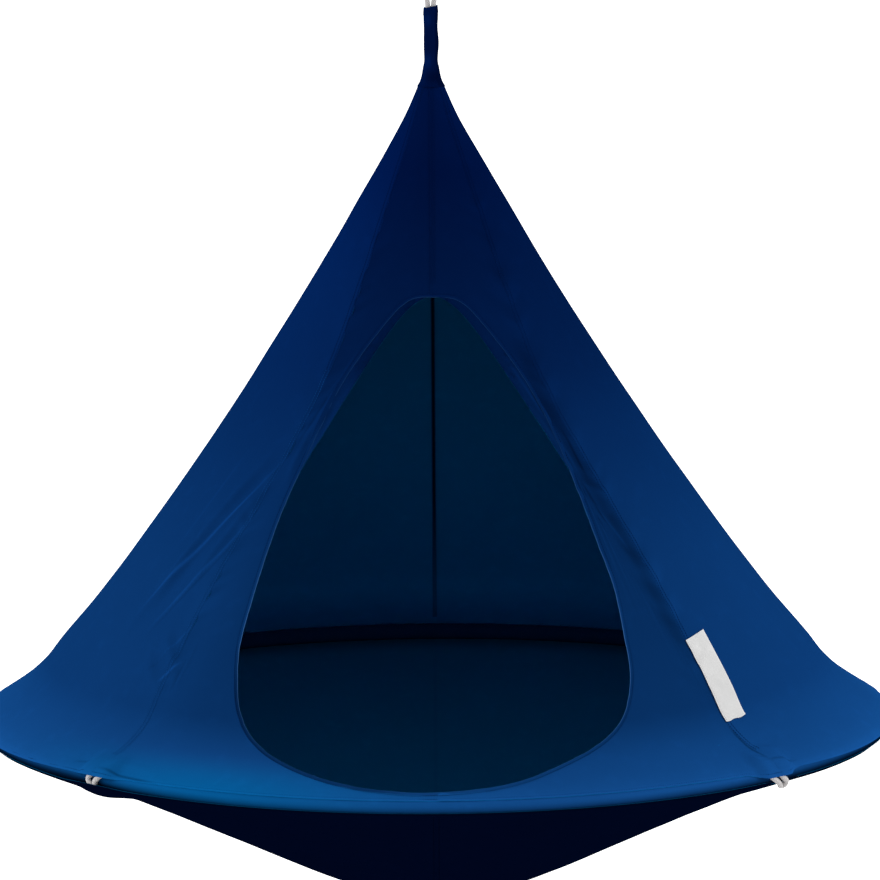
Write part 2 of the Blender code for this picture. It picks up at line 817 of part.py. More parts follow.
# Neck
def build_neck(cloth, carrier) -> None:
    """Make the neck sleeve, square with round corners above and round where it meets the canopy."""

    def point_at(column: int, row: int) -> Vector:
        height, half = NECK_ROWS[row]
        squareness = 2.0 + 3.5 * smoothstep(NECK_ROUND_BELOW, NECK_SQUARE_ABOVE, height)
        turn = 2.0 * math.pi * (column + 0.5) / NECK_SIDES
        cosine = abs(math.cos(turn)) ** squareness
        sine = abs(math.sin(turn)) ** squareness
        radius = half / (cosine + sine) ** (1.0 / squareness)
        return Vector((radius * math.cos(turn), radius * math.sin(turn), height))

    sheet = sheet_from_grid(NECK_SIDES, len(NECK_ROWS), point_at, closed=True)
    neck = place_mesh("neck_sleeve", sheet, cloth, carrier, 60.0)
    add_thickness(neck, SLEEVE_CLOTH)


# Ropes
def loop_lean(angle: float) -> float:
    """Return how far the loop is pulled along the ring at an angle round the tube."""
    turned = angle % 360.0
    if turned <= LEAN_ENDS - 360.0:
        turned += 360.0
    if turned >= LEAN_FULL:
        return LOOP_LEAN * (1.0 - smoothstep(LEAN_FULL, LEAN_ENDS, turned))
    return LOOP_LEAN * smoothstep(LEAN_STARTS, LEAN_FULL, turned)


def loop_point(angle: float, along: float, radius: float) -> Vector:
    """Return a point of the loop at the right-hand front corner."""
    shifted = CORNER + math.degrees((along + loop_lean(angle)) / RING_RADIUS)
    return round_tube(shifted, radius, angle)


def loop_route() -> list:
    """Return the eye that hitches the rope to the tube, from its splice to where the rope leaves."""
    points = []
    angle = TAIL_ANGLE
    while angle < BOTTOM_ANGLE:
        apart = -LOOP_HALF + SPLICE_PARTING * (1.0 - smoothstep(TAIL_ANGLE, 360.0, angle))
        points.append(loop_point(angle, apart, ROPE_ON_TUBE))
        angle += LOOP_STEP
    for index in range(BAR_STEPS + 1):
        turn = math.pi * index / BAR_STEPS
        angle = BOTTOM_ANGLE + BAR_REACH * math.sin(turn)
        lift = 2 * (ROPE_RADIUS + GAP) * math.sin(turn)
        points.append(loop_point(angle, -LOOP_HALF * math.cos(turn), ROPE_ON_TUBE + lift))
    angle = BOTTOM_ANGLE - LOOP_STEP
    while angle > LEAVE_ANGLE:
        parted = LOOP_HALF * smoothstep(EYE_CLOSED, EYE_PARTED, angle)
        points.append(loop_point(angle, parted, ROPE_ON_TUBE))
        angle -= LOOP_STEP
    points.append(loop_point(LEAVE_ANGLE, 0.0, ROPE_ON_TUBE))
    return points


def leg_route(rear: bool) -> list:
    """Return a leg of the right-hand side from the tube, up inside its corner seam, to the bundle's top.

    The rear leg is returned mirrored to the front.
    """
    leave = loop_point(LEAVE_ANGLE, 0.0, ROPE_ON_TUBE)
    along_seam = []
    for height in ROUTE_HEIGHTS:
        azimuth = rear_seam(height) if rear else front_seam(height)
        point = surface_point(azimuth, height, -ROPE_INWARD)
        along_seam.append(Vector((point.x, -abs(point.y), point.z)))
    half = STRAND_SPACING / 2
    gathered = [polar(radius, GATHER_AZIMUTH, height) for height, radius in GATHER]
    bundle = [Vector((half, -half, height)) for height in BUNDLE_HEIGHTS]
    inward = polar(-ROPE_LOW_INWARD, CORNER, 0.0)
    straight = [
        leave.lerp(along_seam[0], share) + inward * math.sin(math.pi * share) for share in (0.25, 0.5, 0.75)
    ]
    return straight + along_seam + gathered + bundle


def bight_route() -> list:
    """Return half of the bend over the steel ring, from the bundle to its crown."""
    half = STRAND_SPACING / 2
    points = []
    for share in (0.35, 0.7, 1.0):
        spread = half + (BIGHT_RADIUS - half) * smoothstep(0.0, 1.0, share)
        height = BUNDLE_HEIGHTS[-1] + (BIGHT_HEIGHT - BUNDLE_HEIGHTS[-1]) * share
        points.append(Vector((spread, -half, height)))
    for index in range(1, 5):
        turn = math.pi / 2 * index / 4
        points.append(
            Vector((BIGHT_RADIUS * math.cos(turn), -half, BIGHT_HEIGHT + BIGHT_RADIUS * math.sin(turn)))
        )
    return points


def least_gap(points: list) -> float:
    """Return the least clear distance between stretches of one rope that aren't neighbours."""
    lengths = [0.0]
    for before, after in zip(points, points[1:]):
        lengths.append(lengths[-1] + (after - before).length)
    best = 1.0
    for first in range(len(points)):
        for second in range(first + 1, len(points)):
            if lengths[second] - lengths[first] > NEIGHBOURS:
                best = min(best, (points[first] - points[second]).length)
    return best - 2 * ROPE_RADIUS


def build_rope(name: str, rear: bool, material, carrier) -> None:
    """Make one rope: its two legs, its two eyes and its bend over the steel ring."""
    half = loop_route() + leg_route(rear) + bight_route()
    flip = -1.0 if rear else 1.0
    right = [Vector((point.x, point.y * flip, point.z)) for point in half]
    left = [Vector((-point.x, point.y, point.z)) for point in right[-2::-1]]
    points = right + left
    curve = bpy.data.curves.new(name, "CURVE")
    curve.dimensions = "3D"
    curve.bevel_depth = ROPE_RADIUS
    curve.bevel_resolution = 1
    curve.use_fill_caps = True
    spline = curve.splines.new("POLY")
    spline.points.add(len(points) - 1)
    for slot, point in zip(spline.points, points):
        slot.co = (*point, 1.0)
    place(name, curve, material, carrier)
    print(f"{name}: least gap to itself {least_gap(points) * 1000:.2f} mm")


# Steel ring and snap hook
def build_steel_ring(metal, carrier) -> None:
    """Make the round steel ring that both ropes hang on."""
    middle = STEEL_RING_BOTTOM + STEEL_RING_RADIUS

    def point_at(column: int, row: int) -> Vector:
        turn = 2.0 * math.pi * column / RING_AROUND
        tilt = 2.0 * math.pi * row / RING_SIDES
        reach = STEEL_RING_RADIUS + STEEL_RING_WIRE * math.cos(tilt)
        return Vector(
            (STEEL_RING_WIRE * math.sin(tilt), reach * math.sin(turn), middle - reach * math.cos(turn))
        )

    shape = bmesh.new()
    grid = [
        [shape.verts.new(point_at(column, row)) for row in range(RING_SIDES)] for column in range(RING_AROUND)
    ]
    for column in range(RING_AROUND):
        following = (column + 1) % RING_AROUND
        for row in range(RING_SIDES):
            beside = (row + 1) % RING_SIDES
            shape.faces.new(
                (grid[column][row], grid[following][row], grid[following][beside], grid[column][beside])
            )
    place_mesh("hanging_ring", shape, metal, carrier, 60.0)


def cylinder(
    name: str, radius: float, length: float, centre: Vector, along: str, sides: int, material, carrier
):
    """Make a cylinder along Y or Z."""
    shape = bmesh.new()
    bmesh.ops.create_cone(
        shape, cap_ends=True, segments=sides, radius1=radius, radius2=radius, depth=length
    )
    for vertex in shape.verts:
        x, y, z = vertex.co
        turned = {"Y": (x, -z, y), "Z": (x, y, z)}[along]
        vertex.co = Vector(turned) + centre
    return place_mesh(name, shape, material, carrier, 40.0)


def box(name: str, size: Vector, centre: Vector, material, carrier):
    """Make a box from its size and centre."""
    shape = bmesh.new()
    bmesh.ops.create_cube(shape, size=1.0)
    for vertex in shape.verts:
        vertex.co = Vector([vertex.co[axis] * size[axis] + centre[axis] for axis in range(3)])
    return place_mesh(name, shape, material, carrier, 40.0)


def hook_path() -> list:
    """Return the snap hook's centre line, from its nose over the top and down to the gate's lug."""
    high = HOOK_HIGH - HOOK_BEND
    low = HOOK_LOW + HOOK_BEND
    points = [Vector((HOOK_BEND, 0.0, high - NOSE_BELOW_BEND))]
    for index in range(BEND_STEPS + 1):
        turn = math.pi * index / BEND_STEPS
        points.append(Vector((HOOK_BEND * math.cos(turn), 0.0, high + HOOK_BEND * math.sin(turn))))
    for index in range(BEND_STEPS + 1):
        turn = math.pi + math.radians(LOW_BEND) * index / BEND_STEPS
        points.append(Vector((HOOK_BEND * math.cos(turn), 0.0, low + HOOK_BEND * math.sin(turn))))
    return points


def build_snap_hook(metal, carrier, gate_carrier) -> None:
    """Make the snap hook's body, its gate and the gate's pin."""
    points = hook_path()
    curve = bpy.data.curves.new("snap_hook_body", "CURVE")
    curve.dimensions = "3D"
    curve.bevel_depth = HOOK_ROD
    curve.bevel_resolution = 3
    curve.use_fill_caps = True
    spline = curve.splines.new("POLY")
    spline.points.add(len(points) - 1)
    for slot, point in zip(spline.points, points):
        slot.co = (*point, 1.0)
    body = place("snap_hook_body", curve, metal, carrier)
    pivot = Vector((HOOK_BEND, 0.0, HOOK_LOW + HOOK_BEND + PIN_ABOVE_BEND))

    evaluated = bpy.data.meshes.new_from_object(body.evaluated_get(bpy.context.evaluated_depsgraph_get()))
    bpy.data.objects.remove(body, do_unlink=True)
    shape = bmesh.new()
    shape.from_mesh(evaluated)
    bmesh.ops.remove_doubles(shape, verts=shape.verts[:], dist=0.00001)
    body = place_mesh("snap_hook_body", shape, metal, carrier, 40.0)

    stem_low = HOOK_LOW + HOOK_BEND - LUG_BELOW_BEND
    stem_size = Vector((2 * LUG_RADIUS, LUG_THICKNESS, pivot.z - stem_low))
    stem_centre = Vector((pivot.x, 0.0, (pivot.z + stem_low) / 2))
    stem = box("lug_stem", stem_size, stem_centre, metal, carrier)
    eye = cylinder("lug_eye", LUG_RADIUS, LUG_THICKNESS, pivot, "Y", 16, metal, carrier)
    hole = cylinder("lug_hole", GATE_HOLE_RADIUS, THROUGH, pivot, "Y", 12, metal, carrier)
    for helper in (stem, eye, hole):
        hide_helper(helper)
    join(body, stem)
    join(body, eye)
    cut(body, hole)

    bottom = pivot.z - GATE_BELOW_PIN
    top = HOOK_HIGH - HOOK_BEND - NOSE_BELOW_BEND - NOSE_GAP
    gate_centre = Vector((pivot.x, 0.0, (bottom + top) / 2))
    gate = cylinder("snap_hook_gate", GATE_RADIUS, top - bottom, gate_centre, "Z", 12, metal, gate_carrier)
    gate.location = (-HOOK_BEND, 0.0, gate.location.z)
    slot_low = bottom - 0.001
    slot_high = pivot.z + SLOT_ABOVE_PIN
    slot_size = Vector((THROUGH, SLOT_WIDTH, slot_high - slot_low))
    slot_centre = Vector((pivot.x, 0.0, (slot_high + slot_low) / 2))
    slot = box("gate_slot", slot_size, slot_centre, metal, carrier)
    bore = cylinder("gate_hole", GATE_HOLE_RADIUS, THROUGH, pivot, "Y", 12, metal, carrier)
    hide_helper(slot)
    hide_helper(bore)
    cut(gate, slot)
    cut(gate, bore)
    cylinder("gate_pin", GATE_PIN_RADIUS, 2 * (GATE_RADIUS + GAP), pivot, "Y", 12, metal, carrier)


def main() -> None:
    """Build the tent."""
    clear_scene()
    canopy_cloth = make_material("canopy_cloth", (0.010, 0.075, 0.245), 0.72)
    floor_cloth = make_material("floor_cloth", (0.004, 0.018, 0.070), 0.80)
    binding_cloth = make_material("binding_cloth", (0.008, 0.080, 0.260), 0.70)
    tape_cloth = make_material("tape_cloth", (0.002, 0.010, 0.030), 0.80)
    label_cloth = make_material("label_cloth", (0.70, 0.69, 0.67), 0.75)
    rope_fibre = make_material("rope_fibre", (0.52, 0.48, 0.46), 0.85)
    tube_metal = make_material("tube_metal", (0.62, 0.63, 0.65), 0.35, 1.0)
    steel = make_material("steel", (0.60, 0.60, 0.60), 0.25, 1.0)

    hook = make_empty("hook_frame", HANG_HEIGHT)
    ring_axis = make_empty("fore_aft_axis", HOOK_LOW, hook)
    tent = make_empty("sideways_axis", BIGHT_HEIGHT, ring_axis)
    gate_axis = make_empty("gate_axis", HOOK_LOW + HOOK_BEND + PIN_ABOVE_BEND, hook)
    gate_axis.location.x = HOOK_BEND

    build_snap_hook(steel, hook, gate_axis)
    build_steel_ring(steel, ring_axis)
    build_rope("rope_front", False, rope_fibre, tent)
    build_rope("rope_rear", True, rope_fibre, tent)
    build_ring(tube_metal, tent)
    build_rim_sleeve(canopy_cloth, tent)
    outline = closed_curve(DOORWAY, BINDING_POINTS)
    cutter = make_doorway_cutter(outline, tent)
    build_canopy_panel("canopy_front_right", 0, canopy_cloth, tent, cutter)
    build_canopy_panel("canopy_side_right", 1, canopy_cloth, tent)
    build_canopy_panel("canopy_rear_right", 2, canopy_cloth, tent)
    build_canopy_panel("canopy_rear_left", 3, canopy_cloth, tent)
    build_canopy_panel("canopy_side_left", 4, canopy_cloth, tent)
    build_canopy_panel("canopy_front_left", 5, canopy_cloth, tent, cutter)
    build_door_binding(outline, binding_cloth, tent)
    build_seam_tape("seam_tape_front_right", seam_at(1), TAPE_CORNER_BOTTOM, tape_cloth, tent)
    build_seam_tape("seam_tape_rear_right", seam_at(2), TAPE_CORNER_BOTTOM, tape_cloth, tent)
    build_seam_tape("seam_tape_rear", seam_at(3), TAPE_BACK_BOTTOM, tape_cloth, tent)
    build_seam_tape("seam_tape_rear_left", seam_at(4), TAPE_CORNER_BOTTOM, tape_cloth, tent)
    build_seam_tape("seam_tape_front_left", seam_at(5), TAPE_CORNER_BOTTOM, tape_cloth, tent)
    build_neck(canopy_cloth, tent)
    build_floor_half("floor_right", 0.0, floor_cloth, tent)
    build_floor_half("floor_left", 180.0, floor_cloth, tent)
    build_floor_tape(tape_cloth, tent)
    build_label(label_cloth, tent)


main()
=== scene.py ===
"""Hanging tent, dressed: a sewn canvas cone on a tube, rope legs in its corner seams and steel fittings.

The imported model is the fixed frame. Heights are measured up from the plane of the big ring, azimuths in
degrees from the middle of the doorway (-Y) towards +X, and runs down the slope of the cone from its top. All
lengths are in metres. Seams are numbered from the front middle, 0, round to the right.
"""
from __future__ import annotations

import json
import logging
import math
from dataclasses import dataclass, field, replace
from enum import Enum

import bmesh
import bpy
import numpy as np
from mathutils import Matrix, Vector

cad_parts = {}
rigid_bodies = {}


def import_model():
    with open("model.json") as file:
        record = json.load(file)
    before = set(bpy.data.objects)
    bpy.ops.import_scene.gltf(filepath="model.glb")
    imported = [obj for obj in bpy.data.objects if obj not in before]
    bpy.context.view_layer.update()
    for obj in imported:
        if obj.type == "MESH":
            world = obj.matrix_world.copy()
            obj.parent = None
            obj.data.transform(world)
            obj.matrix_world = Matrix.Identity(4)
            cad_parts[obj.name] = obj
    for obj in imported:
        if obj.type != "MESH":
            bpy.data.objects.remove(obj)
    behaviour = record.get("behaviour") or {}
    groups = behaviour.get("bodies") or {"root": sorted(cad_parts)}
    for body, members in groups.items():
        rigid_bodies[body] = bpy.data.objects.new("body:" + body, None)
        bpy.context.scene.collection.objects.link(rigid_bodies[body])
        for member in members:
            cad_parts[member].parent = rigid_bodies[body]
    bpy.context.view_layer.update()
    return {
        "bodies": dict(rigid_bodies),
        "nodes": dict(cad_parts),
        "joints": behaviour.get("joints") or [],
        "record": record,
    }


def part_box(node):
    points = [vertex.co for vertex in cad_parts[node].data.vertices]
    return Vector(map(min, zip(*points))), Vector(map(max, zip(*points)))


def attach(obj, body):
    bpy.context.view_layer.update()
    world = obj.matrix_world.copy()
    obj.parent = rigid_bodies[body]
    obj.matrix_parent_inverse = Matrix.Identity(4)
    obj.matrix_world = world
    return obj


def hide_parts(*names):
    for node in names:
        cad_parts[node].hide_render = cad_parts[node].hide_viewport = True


LOG = logging.getLogger("hanging_tent")
TENT_BODY = "tent"
Array = np.ndarray
Colour = tuple[float, float, float]
Seams = tuple[int, ...]
Row = tuple[Array, Array]
Piece = bpy.types.Object
Material = bpy.types.Material
Tree = bpy.types.NodeTree
Node = bpy.types.Node
Socket = bpy.types.NodeSocket
Outputs = bpy.types.NodeOutputs


class Slot(Enum):
    """Material slots of the record."""

    CANOPY = "canopy_cloth"
    FLOOR = "floor_cloth"
    BINDING = "binding_cloth"
    TAPE = "tape_cloth"
    LABEL = "label_cloth"
    ROPE = "rope_fibre"
    TUBE = "tube_metal"
    STEEL = "hook_steel"


class Side(Enum):
    """The two halves of the front, as the sign of x."""

    LEFT = -1
    RIGHT = 1


# Numbers and noise


def ramp(low: float, high: float, value: Array) -> Array:
    """Return a smooth 0 to 1 ramp between two limits."""
    share = np.clip((np.asarray(value, float) - low) / (high - low), 0.0, 1.0)
    return share * share * (3.0 - 2.0 * share)


def turned(azimuth: Array) -> Array:
    """Return azimuths wrapped to -180 to 180 degrees."""
    return (np.asarray(azimuth, float) + 180.0) % 360.0 - 180.0


def unit(vectors: Array) -> Array:
    """Return vectors scaled to length one."""
    return vectors / np.maximum(np.linalg.norm(vectors, axis=-1, keepdims=True), 1e-12)


def bell(value: Array, width: float) -> Array:
    """Return a smooth bump: 1 at a value of 0, and next to nothing at two widths from it."""
    return np.exp(-((value / width) ** 2))


def wrapped(turn: Array) -> Array:
    """Return radians wrapped to half a turn either way."""
    return np.angle(np.exp(1j * turn))


def matched(*values: Array | float) -> list[Array]:
    """Return values as arrays of one shape."""
    return np.broadcast_arrays(*(np.asarray(value, float) for value in values))


def polar(reach: Array, turn: Array, height: Array) -> Array:
    """Return points by their distance from the axis, their azimuth in radians and their height."""
    return np.stack(matched(reach * np.sin(turn), -reach * np.cos(turn), height), axis=-1)


def hermite(share: Array, start: Array, leaving: Array, end: Array, arriving: Array) -> Array:
    """Return a smooth way from start to end.

    Args:
        share: the shares of the way, 0 to 1.
        start: where the way starts.
        leaving: its slope there.
        end: where it ends.
        arriving: its slope there.

    Returns:
        The points on the way.
    """
    square = share**2
    cube = share**3
    return (
        (2 * cube - 3 * square + 1) * start
        + (cube - 2 * square + share) * leaving
        + (3 * square - 2 * cube) * end
        + (cube - square) * arriving
    )


def catmull(points: Array, parts: int, closed: bool = False) -> Array:
    """Return a smooth curve through points.

    Args:
        points: the points, one a row.
        parts: the number of steps between two points.
        closed: whether the last point joins the first.

    Returns:
        The points of the curve, one a row.
    """
    count = len(points)
    if closed:
        padded = np.concatenate([points[-1:], points, points[:2]])
        spans = count
    else:
        first = 2 * points[:1] - points[1:2]
        last = 2 * points[-1:] - points[-2:-1]
        padded = np.concatenate([first, points, last])
        spans = count - 1
    share = (np.arange(parts) / parts)[:, None]
    result = []
    for index in range(spans):
        before, start, end, after = padded[index : index + 4]
        result.append(hermite(share, start, (end - before) / 2, end, (after - start) / 2))
    curve = np.concatenate(result)
    return curve if closed else np.concatenate([curve, points[-1:]])


def lengths_along(points: Array) -> Array:
    """Return the running length at each point of a path."""
    steps = np.linalg.norm(np.diff(points, axis=0), axis=1)
    return np.concatenate([[0.0], np.cumsum(steps)])


def resampled(points: Array, count: int) -> Array:
    """Return a path of evenly spaced points."""
    run = lengths_along(points)
    return np.stack([np.interp(np.linspace(0.0, run[-1], count), run, column) for column in points.T], axis=1)


class SoftNoise:
    """Smooth noise that repeats from run to run."""

    SIDE = 32

    def __init__(self, seed: int) -> None:
        """Fill the lattice from a seed."""
        self.lattice = np.random.default_rng(seed).uniform(-1.0, 1.0, (self.SIDE,) * 3)

    def __call__(self, points: Array, size: float) -> Array:
        """Return the noise from -1 to 1 at points, with bumps about size across.

        Args:
            points: where, one point a row.
            size: the size of a bump.

        Returns:
            The noise, one value a point.
        """
        spot = np.asarray(points, float) / size
        base = np.floor(spot).astype(int)
        share = spot - base
        share = share * share * (3.0 - 2.0 * share)
        total = np.zeros(spot.shape[:-1])
        for corner in range(8):
            shift = np.array([corner & 1, corner >> 1 & 1, corner >> 2 & 1])
            weight = np.prod(np.where(shift == 1, share, 1.0 - share), axis=-1)
            cell = (base + shift) % self.SIDE
            total += weight * self.lattice[cell[..., 0], cell[..., 1], cell[..., 2]]
        return total


# Meshes


@dataclass
class Sheet:
    """A grid of points with what its cloth needs to know, columns first and rows second."""

    points: Array
    normals: Array
    uv: Array
    marks: dict[str, Array] = field(default_factory=dict)
    closed: bool = False

    @classmethod
    def joined(cls, points: Array, normals: Array, uv: Array, marks: dict[str, Array]) -> Sheet:
        """Return a sheet that joins up with itself, whose last column of points repeats its first."""
        kept = {mark: values[:-1] for mark, values in marks.items()}
        return cls(points[:-1], normals[:-1], uv, kept, True)


def corners(columns: int, rows: int, closed_u: bool, closed_v: bool) -> tuple[Array, Array]:
    """Return the column and row of each corner of each quad of a grid.

    Args:
        columns: how many columns of points there are.
        rows: how many rows.
        closed_u: whether the columns join up.
        closed_v: whether the rows do.

    Returns:
        The columns and the rows, four a quad.
    """
    column, row = np.meshgrid(
        np.arange(columns if closed_u else columns - 1),
        np.arange(rows if closed_v else rows - 1),
        indexing="ij",
    )
    column = column.ravel()
    row = row.ravel()
    return (
        np.stack([column, column, column + 1, column + 1], axis=1),
        np.stack([row, row + 1, row + 1, row], axis=1),
    )


def signed_volume(points: Array, quads: Array) -> float:
    """Return six times the volume inside quads, negative where they face inwards.

    Args:
        points: the vertices.
        quads: vertex indices, four a row.

    Returns:
        Six times the volume.
    """
    first, second, third, fourth = (points[quads[:, index]] for index in range(4))
    volume = np.einsum("ij,ij->i", first, np.cross(second, third))
    volume += np.einsum("ij,ij->i", first, np.cross(third, fourth))
    return float(volume.sum())


def put(name: str, data: bpy.types.ID) -> Piece:
    """Put a new object into the scene.

    Args:
        name: the object's name.
        data: its mesh, light or camera.

    Returns:
        The object.
    """
    thing = bpy.data.objects.new(name, data)
    bpy.context.scene.collection.objects.link(thing)
    return thing


def make_object(
    name: str,
    points: Array,
    quads: Array,
    uv: Array,
    material: Material,
    marks: dict[str, Array] | None = None,
    caps: list[list[int]] | None = None,
    sharp: float = 50.0,
) -> Piece:
    """Make a mesh object of quads that face outwards.

    Args:
        name: the object's name.
        points: its vertices.
        quads: vertex indices, four a row.
        uv: the corner coordinates in metres, in the order of the quads.
        material: its material.
        marks: values for each vertex, by attribute name.
        caps: rings of vertices that are closed by one face each.
        sharp: the angle in degrees past which an edge shows.

    Returns:
        The object.
    """
    if signed_volume(points, quads) < 0.0:
        quads = quads[:, ::-1]
        uv = uv[:, ::-1]
    faces = quads.tolist()
    corner_uv = uv.reshape(-1, 2)
    if caps:
        faces += caps
        corner_uv = np.concatenate([corner_uv, np.zeros((sum(len(cap) for cap in caps), 2))])
    mesh = bpy.data.meshes.new(name)
    mesh.from_pydata(points.tolist(), [], faces)
    layer = mesh.uv_layers.new(name="cloth_metres")
    layer.data.foreach_set("uv", corner_uv.astype(np.float32).ravel())
    for mark, values in (marks or {}).items():
        attribute = mesh.attributes.new(mark, "FLOAT", "POINT")
        attribute.data.foreach_set("value", values.astype(np.float32).ravel())
    if caps:
        shape = bmesh.new()
        shape.from_mesh(mesh)
        bmesh.ops.recalc_face_normals(shape, faces=shape.faces[:])
        shape.to_mesh(mesh)
        shape.free()
    mesh.shade_smooth()
    mesh.set_sharp_from_angle(angle=math.radians(sharp))
    mesh.materials.append(material)
    mesh.update()
    return put(name, mesh)


def make_shell(name: str, sheet: Sheet, thickness: float, material: Material) -> Piece:
    """Make a sheet of cloth with an outer face, an inner face and edges.

    Args:
        name: the object's name.
        sheet: the cloth's middle surface.
        thickness: the cloth's thickness.
        material: the cloth's material.

    Returns:
        The object.
    """
    columns, rows = sheet.points.shape[:2]
    half = sheet.normals * thickness / 2
    points = np.concatenate([(sheet.points + half).reshape(-1, 3), (sheet.points - half).reshape(-1, 3)])
    below = columns * rows
    column, row = corners(columns, rows, sheet.closed, False)
    outer = (column % columns) * rows + row
    quads = [outer, outer[:, ::-1] + below]
    face_uv = sheet.uv[column, row]
    uvs = [face_uv, face_uv[:, ::-1]]

    def edge(line: Array, line_uv: Array) -> None:
        """Close the shell along a line of its vertices."""
        quads.append(np.stack([line[:-1], line[:-1] + below, line[1:] + below, line[1:]], axis=1))
        uvs.append(np.stack([line_uv[:-1], line_uv[:-1], line_uv[1:], line_uv[1:]], axis=1))

    index = np.arange(below).reshape(columns, rows)
    if not sheet.closed:
        edge(index[0], sheet.uv[0])
        edge(index[-1][::-1], sheet.uv[columns - 1][::-1])
    looped = np.concatenate([index, index[:1]]) if sheet.closed else index
    edge(looped[::-1, 0], sheet.uv[: len(looped), 0][::-1])
    edge(looped[:, -1], sheet.uv[: len(looped), -1])
    marks = {mark: np.concatenate([values.ravel(), values.ravel()]) for mark, values in sheet.marks.items()}
    marks["inside"] = np.concatenate([np.zeros(below), np.ones(below)])
    return make_object(name, points, np.concatenate(quads), np.concatenate(uvs), material, marks)


def transport(path: Array) -> tuple[Array, Array]:
    """Return two directions square to a path that twist as little as they can.

    Args:
        path: the points of the path, one a row.

    Returns:
        The two directions at each point.
    """
    tangents = unit(np.gradient(path, axis=0))
    side = np.cross(tangents[0], [0.0, 0.0, 1.0])
    if np.linalg.norm(side) < 0.1:
        side = np.cross(tangents[0], [0.0, 1.0, 0.0])
    sides = [side / np.linalg.norm(side)]
    for tangent in tangents[1:]:
        side = sides[-1] - tangent * (sides[-1] @ tangent)
        sides.append(side / np.linalg.norm(side))
    across = np.array(sides)
    return across, np.cross(tangents, across)


def make_tube(
    name: str,
    path: Array,
    radius: Array | float,
    sides: int,
    material: Material,
    closed: bool = False,
    sharp: float = 50.0,
) -> Piece:
    """Make a solid rod, rope or ring along a path.

    Args:
        name: the object's name.
        path: its centre line.
        radius: its radius, or one for each point.
        sides: the number of sides round it.
        material: its material.
        closed: whether it joins up with itself.
        sharp: the angle in degrees past which an edge shows.

    Returns:
        The object, whose UV map runs in turns round it and in metres along it.
    """
    across, up = transport(path)
    if closed:
        middle = path.mean(axis=0)
        axis = unit(np.cross(path[0] - middle, path[len(path) // 4] - middle))
        tangents = unit(np.roll(path, -1, axis=0) - np.roll(path, 1, axis=0))
        up = unit(np.cross(tangents, axis))
        across = np.cross(tangents, up)
    count = len(path)
    angle = 2.0 * np.pi * np.arange(sides) / sides
    reach = np.broadcast_to(np.asarray(radius, float), count)[:, None, None]
    ring = across[:, None] * np.cos(angle)[None, :, None] + up[:, None] * np.sin(angle)[None, :, None]
    points = (path[:, None] + ring * reach).reshape(-1, 3)
    column, row = corners(count, sides, closed, True)
    quads = (column % count) * sides + row % sides
    run = lengths_along(np.concatenate([path, path[:1]]))
    uv = np.stack([row / sides, run[column]], axis=-1)
    caps = None
    if not closed:
        caps = [list(range(sides)), list(range((count - 1) * sides, count * sides))]
    return make_object(name, points, quads, uv, material, caps=caps, sharp=sharp)


def settled(thing: Piece, name: str) -> Piece:
    """Turn an object and its modifiers into a plain mesh object.

    Args:
        thing: the object, which is removed.
        name: the new object's name.

    Returns:
        The plain object.
    """
    graph = bpy.context.evaluated_depsgraph_get()
    mesh = bpy.data.meshes.new_from_object(thing.evaluated_get(graph), depsgraph=graph)
    old = thing.data
    bpy.data.objects.remove(thing, do_unlink=True)
    if isinstance(old, bpy.types.Mesh) and not old.users:
        bpy.data.meshes.remove(old)
    mesh.name = name
    return put(name, mesh)


def mount(thing: Piece, body: str, slot: Slot, *nodes: str) -> Piece:
    """Fix a piece to its body and hide the solids that it stands for.

    Args:
        thing: the piece.
        body: the body that it rides on.
        slot: its finish in the record; not used.
        *nodes: the solids that it replaces.

    Returns:
        The piece.
    """
    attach(thing, body)
    if nodes:
        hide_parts(*nodes)
    LOG.info("%s rides on %s", thing.name, body)
    return thing


# Node trees


